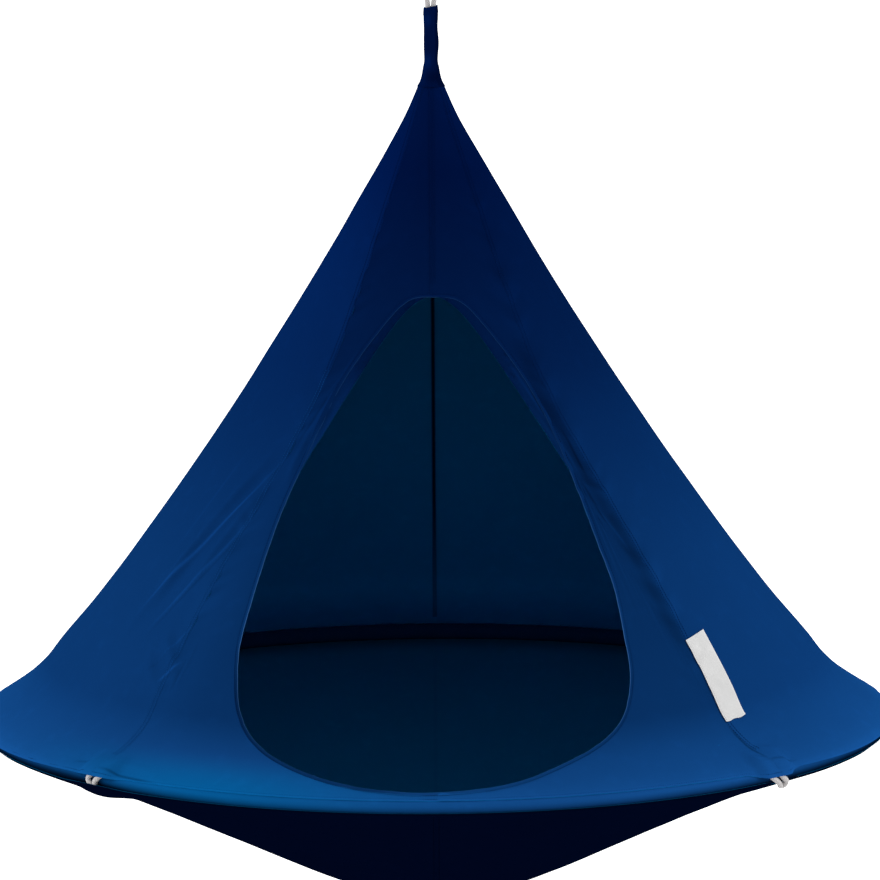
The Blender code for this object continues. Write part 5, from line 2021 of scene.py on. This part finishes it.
    def tape(self) -> None:
        """Lay the tape over the floor's seam, on the upper side."""
        form = self.form
        y = np.linspace(-1.0, 1.0, 160) * (form.ring_radius - 0.060)
        x = np.linspace(-self.tape_width / 2, self.tape_width / 2, 7)[:, None]
        x, y = np.broadcast_arrays(x, y[None, :])
        azimuth = np.degrees(np.arctan2(x, -y)) % 360.0
        run = np.interp(np.hypot(x, y), self.section[:, 0], self.runs)
        share = run / (self.straight + math.radians(self.wrap) * self.touch)
        points, normals = self.surface(azimuth, np.maximum(share, 0.01), self.tape_above)
        uv = np.stack([x, y], axis=-1)
        sheet = Sheet(points, -normals, uv, {"painted_light_and_seam_line": 0.93 + 0.07 * ramp(0.0018, 0.0030, np.abs(x))})
        tape = make_shell("floor_tape", sheet, self.tape_thickness, self.wardrobe.floor_tape)
        mount(tape, TENT_BODY, Slot.TAPE, "floor_seam_tape")

    def build(self) -> None:
        """Make the two halves, the tape over their seam and the stitches."""
        self.halves()
        self.tape()
        self.stitches()


@dataclass
class SeamTapes(Maker):
    """The tapes that cover the corner and rear seams on the inside."""

    width: float = 0.012
    top: float = 0.990
    thickness: float = 0.0008
    inside: float = -0.0024
    corner_bottom: float = 0.138
    rear_bottom: float = 0.032
    SEAMS = (("front_right", 1), ("rear_right", 2), ("rear", 3), ("rear_left", 4), ("front_left", 5))

    def build(self) -> None:
        """Make one tape for each seam."""
        form = self.form
        for label, number in self.SEAMS:
            bottom = self.rear_bottom if label == "rear" else self.corner_bottom
            run = np.linspace(float(form.run_at(self.top)), float(form.run_at(bottom)), 190)[None, :]
            height = form.height_at(run)
            away = np.linspace(-self.width / 2, self.width / 2, 9)[:, None]
            azimuth = form.seam(number, height) + np.degrees(away / form.radius_at(height))
            run = np.broadcast_to(run, azimuth.shape)
            points, normals = form.skin(azimuth, run, self.inside)
            uv = np.stack(np.broadcast_arrays(away, run), axis=-1)
            # Paler low down and lit with the lining's painted bounced light near the ring; the dark line down
            # the middle is the seam.
            paler = 0.50 * (1.0 - ramp(0.06, 0.30, height))
            seam_line = np.maximum(ramp(0.0020, 0.0044, np.abs(away)), paler)
            painted_bounce = np.broadcast_to(form.painted_bounce(height), azimuth.shape)
            sheet = Sheet(points, -normals, uv, {"painted_light_and_seam_line": seam_line, "tone": painted_bounce})
            tape = make_shell(f"inner_tape_{label}", sheet, self.thickness, self.wardrobe.tape)
            mount(tape, TENT_BODY, Slot.TAPE, f"seam_tape_{label}")


@dataclass
class Label(Maker):
    """The bare woven label beside the right-hand front seam."""

    width: float = 0.050
    top: float = 0.195
    top_rise: float = 0.008
    bottom: float = 0.076
    bottom_rise: float = 0.003
    offset: float = 0.0006
    above: float = 0.0019
    thickness: float = 0.0007
    slope: float = 1.32
    stitch_side: float = 0.0022
    stitch_above: float = 0.0026

    def place(self, across: Array, down: Array, lift: Array | float) -> tuple[Array, Array]:
        """Return points of the label, by metres across it and share of its length.

        Args:
            across: from the seam.
            down: the share of its length.
            lift: above the cloth's middle.

        Returns:
            The points and their normals.
        """
        form = self.form
        share = across / self.width
        top = self.top + self.top_rise * share
        height = top + (self.bottom + self.bottom_rise * share - top) * down
        azimuth = form.front_seam(height) + np.degrees((self.offset + across) / form.radius_at(height))
        return form.skin(azimuth, form.run_at(height), lift)

    def build(self) -> None:
        """Make the label and the row of stitches that holds it in the seam."""
        across = np.linspace(0.0, self.width, 30)[:, None]
        down = np.linspace(0.0, 1.0, 90)[None, :]
        across, down = np.broadcast_arrays(across, down)
        free = across / self.width
        ends = bell(1.0 - down, 0.10) + 0.4 * bell(down, 0.08)
        wave = 0.0011 * np.sin(across / self.width * 9.0 + 0.6) * ends * free
        bow = 0.0014 * free**2 * (0.4 + 0.6 * np.sin(np.pi * down))
        ragged = down + 0.006 * np.sin(across / self.width * 11.0) * ramp(0.9, 1.0, down)
        points, normals = self.place(across, ragged, self.above + bow + np.maximum(wave, -0.0006))
        length = (self.top - self.bottom) * self.slope
        uv = np.stack([across, down * length], axis=-1)
        # Painted highlight along the label's two long edges.
        wear = bell(across, 0.0015) + bell(self.width - across, 0.0012)
        sheet = Sheet(points, normals, uv, {"wear": wear})
        label = make_shell("bare_label", sheet, self.thickness, self.wardrobe.label)
        mount(label, TENT_BODY, Slot.LABEL, "label")
        line = np.linspace(0.02, 0.98, 60)
        row = self.place(np.full(line.shape, self.stitch_side), line, self.stitch_above)
        thread = self.wardrobe.pale_thread
        self.seamstress.sew("label_stitches", [row], thread, Slot.LABEL, 0.0030, 0.0022, 0.0004)


@dataclass
class Neck(Maker):
    """The sleeve round the rope bundle above the cone."""

    thickness: float = 0.0010
    brim: float = 1.1645
    brim_tilt: float = 0.0024
    bottom: float = 1.0350
    high_stitches: float = 1.1535
    low_stitches: float = 1.0370
    flat: tuple[float, float] = (0.088, 0.128)
    ROWS = (
        (1.1660, 0.0106), (1.1500, 0.0112), (1.1250, 0.0107), (1.1000, 0.0112), (1.0790, 0.0104),
        (1.0660, 0.0122), (1.0520, 0.0152), (1.0430, 0.0181), (1.0385, 0.0206), (1.0350, 0.0224),
    )

    def surface(self, turn: Array, height: Array, lift: Array | float = 0.0) -> tuple[Array, Array]:
        """Return points round the sleeve, by angle in radians from +X and height.

        Args:
            turn: in radians.
            height: above the ring.
            lift: how far the points stand off it.

        Returns:
            The points and their normals.
        """
        rows = np.array(self.ROWS)[::-1]
        fine = catmull(rows, 10)
        half = np.interp(height, fine[:, 0], fine[:, 1])
        power = 2.0 + 3.5 * ramp(1.040, 1.075, height)
        spread = np.abs(np.cos(turn)) ** power + np.abs(np.sin(turn)) ** power
        radius = half / spread ** (1.0 / power)
        front = turn + np.pi / 2
        fold = bell(wrapped(front - 0.62), 0.20)
        second = bell(wrapped(front + 0.9 + 9.0 * (height - 1.06)), 0.25)
        bulge = bell(height - 1.104, 0.016) * np.maximum(np.cos(turn - 0.15), 0.0)
        upper = ramp(1.055, 1.080, height)
        lump = self.form.noise(np.stack([np.cos(turn), np.sin(turn), height / 0.020], axis=-1), 0.9)
        radius = radius - (0.0013 * fold + 0.0007 * second - 0.0005 * lump) * upper + 0.0013 * bulge
        pinch = bell(height - 1.0745, 0.006)
        pleats = np.cos(7.0 * turn + 1.0) * bell(height - 1.068, 0.013)
        radius = radius - 0.0004 * pinch + 0.0006 * pleats + lift
        points = np.stack([radius * np.cos(turn), radius * np.sin(turn), self.form.plane + height], axis=-1)
        normals = unit(np.stack([np.cos(turn), np.sin(turn), 0.0 * turn], axis=-1))
        return points, normals

    def build(self) -> None:
        """Make the sleeve, its top hem and its stitches."""
        turn = np.linspace(0.0, 2.0 * np.pi, 97)[:, None]
        share = np.linspace(0.0, 1.0, 90)[None, :]
        turn, share = np.broadcast_arrays(turn, share)
        brim = self.brim + self.brim_tilt * np.cos(turn)
        height = brim + (self.bottom - brim) * share
        hem = 0.0006 * (1.0 - ramp(0.085, 0.10, share))
        points, normals = self.surface(turn, height, hem)
        uv = np.stack([turn * 0.011, height], axis=-1)
        # Painted sheen in two bands on the left front, painted shade down the right side and just above the
        # bottom seam, and the dark top colour of the cone.
        facing = wrapped(turn + np.pi / 2)
        sheen = bell(height - 1.143, 0.012) + bell(height - 1.076, 0.012)
        seam_shade = bell(height - 1.050, 0.011) * ramp(-0.9, 0.3, facing)
        tone = 0.65 * sheen * bell(facing + 0.35, 0.45) - 0.15
        tone = np.maximum(tone - 0.45 * ramp(0.35, 1.0, facing) - 0.30 * seam_shade, -0.55)
        marks = {"painted_light_and_seam_line": np.zeros(turn.shape), "tone": tone, "wear": 0.5 * (1.0 - ramp(0.0, 0.02, share))}
        sheet = Sheet.joined(points, normals, uv, marks)
        neck = make_shell("gathered_neck", sheet, self.thickness, self.wardrobe.canopy)
        mount(neck, TENT_BODY, Slot.CANOPY, "neck_sleeve")
        around = np.linspace(0.0, 2.0 * np.pi, 120)
        rows = [
            self.surface(around, self.high_stitches + self.brim_tilt * np.cos(around), 0.0010),
            self.surface(around, np.full(around.shape, self.low_stitches), 0.0008),
        ]
        self.seamstress.sew("neck_stitches", rows, self.wardrobe.thread, Slot.CANOPY, 0.0034, 0.0026, 0.0006)


# Ropes, tubes and fittings


@dataclass(frozen=True)
class LoopLay:
    """How a loop lies on the tube: where it closes, and how far along the ring it is pulled at each angle."""

    tail: float
    closed: float
    parted: float
    angles: tuple[float, ...]
    shifts: tuple[float, ...]
    slack: float

    def shift(self, angle: float) -> float:
        """Return how far along the ring, away from the doorway, the loop is pulled at an angle."""
        return float(np.interp(angle, self.angles, self.shifts))


@dataclass
class Ropes(Maker):
    """The two ropes, each with two legs, an eye at each end and a bend over the steel ring."""

    radius: float = 0.00425
    gap: float = 0.0003
    spacing: float = 0.0090
    inward: float = 0.0112
    low_inward: float = 0.0050
    loop_half: float = 0.0098
    loop_step: float = 15.0
    bar_start: float = 510.0
    bar_reach: float = 35.0
    bar_lift: float = 0.013
    leaving: float = 220.0
    tail_gap: float = 0.0023
    bight_radius: float = 0.00805
    bight_height: float = 1.195426
    gather_azimuth: float = 42.0
    ROUTE = (0.165, 0.230, 0.310, 0.400, 0.490, 0.580, 0.670, 0.760, 0.850, 0.930, 0.985)
    GATHER = ((1.014, 0.0160), (1.038, 0.0092))
    BUNDLE = (1.062, 1.085, 1.110, 1.135, 1.160)

    HANGING = LoopLay(
        tail=303.0,
        closed=290.0,
        parted=338.0,
        angles=(220.0, 235.0, 250.0, 265.0, 281.0, 296.0, 305.0, 335.0, 365.0, 400.0, 470.0, 510.0),
        shifts=(0.034, 0.037, 0.034, 0.030, 0.025, 0.021, 0.020, 0.010, -0.004, -0.009, -0.004, 0.0),
        slack=0.0022,
    )
    TUCKED = LoopLay(
        tail=349.0,
        closed=334.0,
        parted=382.0,
        angles=(220.0, 312.0, 340.0, 360.0, 380.0, 400.0, 440.0, 510.0),
        shifts=(0.0, 0.002, 0.005, 0.006, 0.002, -0.003, -0.004, 0.0),
        slack=0.0,
    )

    def loop_point(self, lay: LoopLay, angle: float, along: float, lift: float = 0.0) -> Array:
        """Return a point of the loop at the right-hand front corner.

        Args:
            lay: how the loop lies.
            angle: in degrees round the tube.
            along: along the ring.
            lift: off the sleeve.

        Returns:
            The point.
        """
        on_tube = self.form.sleeve_outside + self.gap + self.radius
        azimuth = self.form.corner + math.degrees((along + lay.shift(angle)) / self.form.ring_radius)
        distance = on_tube + lift + lay.slack * bell(angle - 300.0, 28.0)
        return self.form.tube_point(np.array(azimuth), np.array(distance), np.array(angle))

    def loop(self, lay: LoopLay) -> list[Array]:
        """Return the eye that hitches the rope to the tube.

        Args:
            lay: how the loop lies.

        Returns:
            The points of its path, tail first.
        """
        points = []
        angle = lay.tail
        while angle < self.bar_start - 8.0:
            apart = -self.loop_half + self.tail_gap * (1.0 - float(ramp(lay.tail, lay.tail + 38.0, angle)))
            points.append(self.loop_point(lay, angle, apart))
            angle += self.loop_step
        for index in range(9):
            turn = math.pi * index / 8
            reach = self.bar_start + self.bar_reach * math.sin(turn)
            across = -self.loop_half * math.cos(turn)
            points.append(self.loop_point(lay, reach, across, self.bar_lift * math.sin(turn)))
        angle = self.bar_start - self.loop_step
        while angle > self.leaving + 8.0:
            apart = self.loop_half * float(ramp(lay.closed, lay.parted, angle))
            points.append(self.loop_point(lay, angle, apart))
            angle -= self.loop_step
        points.append(self.loop_point(lay, self.leaving, 0.0))
        return points

    def leg(self, lay: LoopLay, rear: bool) -> list[Array]:
        """Return a leg from the tube to the bundle's top, inside its corner seam.

        Args:
            lay: how its loop lies.
            rear: whether it belongs to the rear rope.

        Returns:
            The points of its path.
        """
        form = self.form
        number = 2 if rear else 1
        seam = []
        for height in self.ROUTE:
            run = form.run_at(height)
            azimuth = form.seam(number, np.array(height))
            point = form.base(azimuth, run) - form.normal(azimuth, run) * self.inward
            seam.append(np.array([point[0], -abs(point[1]), point[2]]))
        leave = self.loop_point(lay, self.leaving, 0.0)
        inward = self.low_inward * np.array([-math.sqrt(0.5), math.sqrt(0.5), 0.0])
        straight = [
            leave + (seam[0] - leave) * share + inward * math.sin(math.pi * share)
            for share in (0.25, 0.5, 0.75)
        ]
        turn = math.radians(self.gather_azimuth)
        gather = [polar(radius, turn, form.plane + height) for height, radius in self.GATHER]
        half = self.spacing / 2
        bundle = [np.array([half, -half, form.plane + height]) for height in self.BUNDLE]
        return straight + seam + gather + bundle

    def bight(self) -> list[Array]:
        """Return half of the bend over the steel ring.

        Returns:
            The points of its path.
        """
        half = self.spacing / 2
        plane = self.form.plane
        points = []
        for share in (0.35, 0.7, 1.0):
            spread = half + (self.bight_radius - half) * float(ramp(0.0, 1.0, share))
            height = self.BUNDLE[-1] + (self.bight_height - self.BUNDLE[-1]) * share
            points.append(np.array([spread, -half, plane + height]))
        for index in range(1, 5):
            turn = math.pi / 2 * index / 4
            rise = self.bight_height + self.bight_radius * math.sin(turn)
            points.append(np.array([self.bight_radius * math.cos(turn), -half, plane + rise]))
        return points

    def build(self) -> None:
        """Make both ropes."""
        for name, rear in (("front", False), ("rear", True)):
            lays = (self.HANGING, self.HANGING if rear else self.TUCKED)
            half, other = [np.array(self.loop(lay) + self.leg(lay, rear) + self.bight()) for lay in lays]
            path = catmull(np.concatenate([half, other[-2::-1] * [-1.0, 1.0, 1.0]]), 6)
            path = path * [1.0, -1.0 if rear else 1.0, 1.0]
            path = resampled(path, round(lengths_along(path)[-1] / 0.0025))
            rope = make_tube(f"plaited_rope_{name}", path, self.radius, 18, self.wardrobe.rope)
            mount(rope, TENT_BODY, Slot.ROPE, f"rope_{name}")
            LOG.info("rope %s is %.2f m long", name, lengths_along(path)[-1])


@dataclass
class RingTubes(Maker):
    """The four quarter tubes of the ring and the ferrules that join them."""

    wall: float = 0.0015
    gap: float = 0.0003
    ferrule_reach: float = 4.5

    def stretch(self, name: str, start: float, end: float, outside: float, node: str) -> None:
        """Make one stretch of hollow tube.

        Args:
            name: the piece's name.
            start: the azimuth where it starts.
            end: the azimuth where it ends.
            outside: its outside radius.
            node: the solid that it replaces.
        """
        form = self.form
        azimuth = np.linspace(start, end, max(round(end - start), 6) + 1)
        azimuth, angle = matched(azimuth[None, :], (360.0 * np.arange(41) / 40)[:, None])
        points, normals = form.tube_skin(azimuth, outside - self.wall / 2, angle)
        uv = np.stack([np.radians(angle) * outside, np.radians(azimuth) * form.ring_radius], axis=-1)
        sheet = Sheet.joined(points, normals, uv, {})
        tube = make_shell(name, sheet, self.wall, self.wardrobe.aluminium)
        mount(tube, TENT_BODY, Slot.TUBE, node)

    def build(self) -> None:
        """Make the tubes and the ferrules."""
        form = self.form
        half_gap = math.degrees(self.gap / 2 / form.ring_radius)
        inside = form.tube_radius - self.wall - self.gap
        reach = self.ferrule_reach
        for index, side in enumerate(("front", "right", "rear", "left")):
            joint = 90.0 * index
            ends = (joint - 90.0 + half_gap, joint - half_gap)
            self.stretch(f"quarter_tube_{side}", *ends, form.tube_radius, f"ring_tube_{side}")
            self.stretch(f"tube_ferrule_{side}", joint - reach, joint + reach, inside, f"ring_ferrule_{side}")


@dataclass
class Fittings(Maker):
    """The steel ring and the snap hook."""

    ring_wire: float = 0.003
    rod: float = 0.004
    bend: float = 0.017
    gate_radius: float = 0.0035
    pin_radius: float = 0.00125
    hole_radius: float = 0.0016
    lug_thickness: float = 0.0030
    lug_radius: float = 0.0035
    lug_foot: float = 0.0050
    lower_bend: float = 175.0
    nose_length: float = 0.0010
    slot_width: float = 0.0036
    slot_above: float = 0.0044
    slot_below: float = 0.001
    cutter: float = 0.02
    pin_proud: float = 0.0010

    def steel_ring(self) -> None:
        """Make the welded round ring."""
        low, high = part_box("hanging_ring")
        middle = (low + high) / 2
        reach = (high.z - low.z) / 2 - self.ring_wire
        turn = 2.0 * np.pi * np.arange(128) / 128
        path = np.stack([0.0 * turn, reach * np.sin(turn), middle.z - reach * np.cos(turn)], axis=1)
        wire = self.ring_wire + 0.00025 * bell(wrapped(turn - 2.2), 0.045)
        ring = make_tube("welded_ring", path, wire, 24, self.wardrobe.steel, closed=True)
        mount(ring, "steel_ring", Slot.STEEL, "hanging_ring")

    def solid(self, shape: bmesh.types.BMesh, name: str) -> Piece:
        """Turn a bmesh into a steel object.

        Args:
            shape: the shape, which is freed.
            name: the object's name.

        Returns:
            The object.
        """
        bmesh.ops.recalc_face_normals(shape, faces=shape.faces[:])
        mesh = bpy.data.meshes.new(name)
        shape.to_mesh(mesh)
        shape.free()
        mesh.materials.append(self.wardrobe.steel)
        return put(name, mesh)

    def drum(
        self, name: str, radius: float, length: float, centre: Vector, sides: int, upright: bool = False
    ) -> Piece:
        """Make a cylinder along Z, or along Y, with softened rims.

        Args:
            name: the object's name.
            radius: its radius.
            length: its length.
            centre: its middle.
            sides: how many sides it has.
            upright: whether it stands along Z.

        Returns:
            The object.
        """
        shape = bmesh.new()
        ends = {"radius1": radius, "radius2": radius}
        bmesh.ops.create_cone(shape, cap_ends=True, segments=sides, depth=length, **ends)
        rims = [edge for edge in shape.edges if abs(edge.verts[0].co.z - edge.verts[1].co.z) < 1e-7]
        softened = min(radius, length) * 0.18
        bmesh.ops.bevel(shape, geom=rims, offset=softened, segments=3, profile=0.5, affect="EDGES")
        turn = Matrix.Identity(4) if upright else Matrix.Rotation(math.radians(90.0), 4, "X")
        shape.transform(Matrix.Translation(centre) @ turn)
        return self.solid(shape, name)

    def block(self, name: str, size: Vector, centre: Vector) -> Piece:
        """Make a box.

        Args:
            name: the object's name.
            size: its three sizes.
            centre: its middle.

        Returns:
            The object.
        """
        shape = bmesh.new()
        bmesh.ops.create_cube(shape, size=1.0)
        shape.transform(Matrix.Translation(centre) @ Matrix.Diagonal((*size, 1.0)))
        return self.solid(shape, name)

    def carve(self, thing: Piece, steps: list[tuple[str, Piece]], name: str) -> Piece:
        """Unite and cut an object with others, which are then removed.

        Args:
            thing: the object.
            steps: the operation and the other object of each step.
            name: the result's name.

        Returns:
            The result.
        """
        for operation, other in steps:
            boolean = thing.modifiers.new(operation.lower(), "BOOLEAN")
            boolean.operation = operation
            boolean.solver = "EXACT"
            boolean.object = other
        result = settled(thing, name)
        for _, other in steps:
            bpy.data.objects.remove(other, do_unlink=True)
        result.data.shade_smooth()
        result.data.set_sharp_from_angle(angle=math.radians(35.0))
        return result

    def snap_hook(self) -> None:
        """Make the hook's bow, its gate and the gate's pin."""
        low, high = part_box("snap_hook_body")
        top = high.z - self.rod - self.bend
        bottom = low.z + self.rod + self.bend
        arc = np.linspace(0.0, np.pi, 33)
        upper = np.stack([self.bend * np.cos(arc), 0.0 * arc, top + self.bend * np.sin(arc)], axis=1)
        sweep = np.pi + np.linspace(0.0, math.radians(self.lower_bend), 33)
        lower = np.stack([self.bend * np.cos(sweep), 0.0 * sweep, bottom + self.bend * np.sin(sweep)], axis=1)
        nose = np.array([[self.bend, 0.0, top - self.nose_length]])
        side = np.array([[-self.bend, 0.0, z] for z in np.linspace(top, bottom, 10)[1:-1]])
        path = np.concatenate([nose, upper, side, lower])
        bow = make_tube("hook_bow", path, self.rod, 28, self.wardrobe.steel)
        pivot = Vector((self.bend, 0.0, self.form.gate_height))
        foot = bottom - self.lug_foot
        stem = self.block(
            "lug_stem",
            Vector((2 * self.lug_radius, self.lug_thickness, pivot.z - foot)),
            Vector((pivot.x, 0.0, (pivot.z + foot) / 2)),
        )
        eye = self.drum("lug_eye", self.lug_radius, self.lug_thickness, pivot, 40)
        hole = self.drum("lug_hole", self.hole_radius, self.cutter, pivot, 32)
        bow = self.carve(bow, [("UNION", stem), ("UNION", eye), ("DIFFERENCE", hole)], "snap_hook_bow")
        mount(bow, "snap_hook", Slot.STEEL, "snap_hook_body")
        gate_low, gate_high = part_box("snap_hook_gate")
        centre = Vector((pivot.x, 0.0, (gate_low.z + gate_high.z) / 2))
        gate = self.drum("gate_rod", self.gate_radius, gate_high.z - gate_low.z, centre, 40, True)
        slot_low = gate_low.z - self.slot_below
        slot_high = pivot.z + self.slot_above
        size = Vector((self.cutter, self.slot_width, slot_high - slot_low))
        slot = self.block("gate_slot", size, Vector((pivot.x, 0.0, (slot_high + slot_low) / 2)))
        bore = self.drum("gate_bore", self.hole_radius, self.cutter, pivot, 32)
        gate = self.carve(gate, [("DIFFERENCE", slot), ("DIFFERENCE", bore)], "spring_gate")
        mount(gate, "gate", Slot.STEEL, "snap_hook_gate")
        pin = self.drum("gate_rivet", self.pin_radius, 2 * self.gate_radius + self.pin_proud, pivot, 28)
        pin.data.shade_smooth()
        mount(pin, "snap_hook", Slot.STEEL, "gate_pin")

    def build(self) -> None:
        """Make every fitting."""
        self.steel_ring()
        self.snap_hook()


# Stage


@dataclass
class Studio:
    """The camera, the plain pale floor and the soft lights."""

    form: TentForm
    distance: float = 9.0
    elevation: float = 11.32
    focal_pixels: float = 5442.0
    picture: float = 880.0
    ring_pixel: tuple[float, float] = (435.5, 711.9)
    roll: float = -0.40
    sensor: float = 36.0
    floor_height: float = -2.6
    ambient: float = 0.74
    left_power: float = 155.0
    right_power: float = 145.0
    top_power: float = 20.0
    aim_height: float = 0.35
    side_size: float = 2.6
    top_size: float = 3.0

    def camera(self) -> None:
        """Place the camera so that the ring's centre falls on its pixel of the picture."""
        centre = Vector((0.0, 0.0, self.form.plane))
        tilt = math.radians(self.elevation)
        back = Vector((0.0, -math.cos(tilt), math.sin(tilt)))
        forward = -back
        right = Vector((1.0, 0.0, 0.0))
        up = right.cross(forward)
        cosine, sine = math.cos(math.radians(self.roll)), math.sin(math.radians(self.roll))
        right, up = cosine * right + sine * up, cosine * up - sine * right
        away_x = (self.ring_pixel[0] - self.picture / 2) / self.focal_pixels
        away_y = (self.picture / 2 - self.ring_pixel[1]) / self.focal_pixels
        seen = (right * away_x + up * away_y + forward).normalized()
        turn = seen.rotation_difference(forward)
        axes = [turn @ axis for axis in (right, up, back)]
        data = bpy.data.cameras.new("camera")
        data.sensor_width = self.sensor
        data.lens = self.focal_pixels * self.sensor / self.picture
        data.clip_end = 200.0
        camera = put("camera", data)
        camera.matrix_world = Matrix.Translation(centre + back * self.distance) @ Matrix(
            [[axis[row] for axis in axes] for row in range(3)]
        ).to_4x4()
        bpy.context.scene.camera = camera

    def light(self, name: str, place: Vector, size: float, power: float) -> None:
        """Add a square soft light that looks at the tent.

        Args:
            name: the light's name.
            place: where it hangs.
            size: the length of its sides.
            power: in watts.
        """
        data = bpy.data.lights.new(name, "AREA")
        data.shape = "SQUARE"
        data.size = size
        data.energy = power
        lamp = put(name, data)
        lamp.location = place
        aim = Vector((0.0, 0.0, self.form.plane + self.aim_height)) - place
        lamp.rotation_euler = aim.to_track_quat("-Z", "Y").to_euler()

    def backdrop(self) -> None:
        """Lay the pale floor and set the room's light."""
        shape = bmesh.new()
        bmesh.ops.create_circle(shape, cap_ends=True, segments=96, radius=90.0)
        mesh = bpy.data.meshes.new("studio_floor")
        shape.to_mesh(mesh)
        shape.free()
        for vertex in mesh.vertices:
            vertex.co.z = self.floor_height
        floor = put("studio_floor", mesh)
        material, graph, shader = new_material("pale_floor")
        white = (1.0, 1.0, 1.0, 1.0)
        graph.fill(
            shader,
            {
                "Base Color": (0.90, 0.90, 0.90, 1.0),
                "Roughness": 0.9,
                "Specular IOR Level": 0.0,
                "Emission Color": white,
                "Emission Strength": graph.add("ShaderNodeLightPath").outputs["Is Camera Ray"],
            },
        )
        mesh.materials.append(material)
        world = bpy.data.worlds.new("studio")
        world.use_nodes = True
        graph = Graph(world.node_tree)
        seen = graph.add("ShaderNodeLightPath").outputs["Is Camera Ray"]
        glow = graph.spread(seen, self.ambient, 1.0)
        graph.fill(world.node_tree.nodes["Background"], {"Color": white, "Strength": glow})
        bpy.context.scene.world = world

    def build(self) -> None:
        """Set up the whole stage."""
        self.camera()
        self.backdrop()
        self.light("left_softbox", Vector((-5.0, -0.6, 0.8)), self.side_size, self.left_power)
        self.light("right_softbox", Vector((5.0, -0.6, 0.8)), self.side_size, self.right_power)
        self.light("top_softbox", Vector((0.0, 0.8, 4.2)), self.top_size, self.top_power)
        bpy.context.scene.view_settings.view_transform = "Standard"
        bpy.context.scene.view_settings.look = "None"


def main() -> None:
    """Load the frame, dress the tent and set the stage."""
    logging.basicConfig(level=logging.INFO, format="%(name)s: %(message)s")
    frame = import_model()
    form = TentForm.from_frame(frame)
    wardrobe = Wardrobe()
    seamstress = Seamstress(StitchTree())
    Studio(form).build()
    cloth = (Canopy, DoorBinding, RimSleeve, Floor, SeamTapes, Label, Neck, Sewing)
    for maker in (*cloth, Ropes, RingTubes, Fittings):
        maker(form, wardrobe, seamstress).build()


if __name__ == "__main__":
    main()
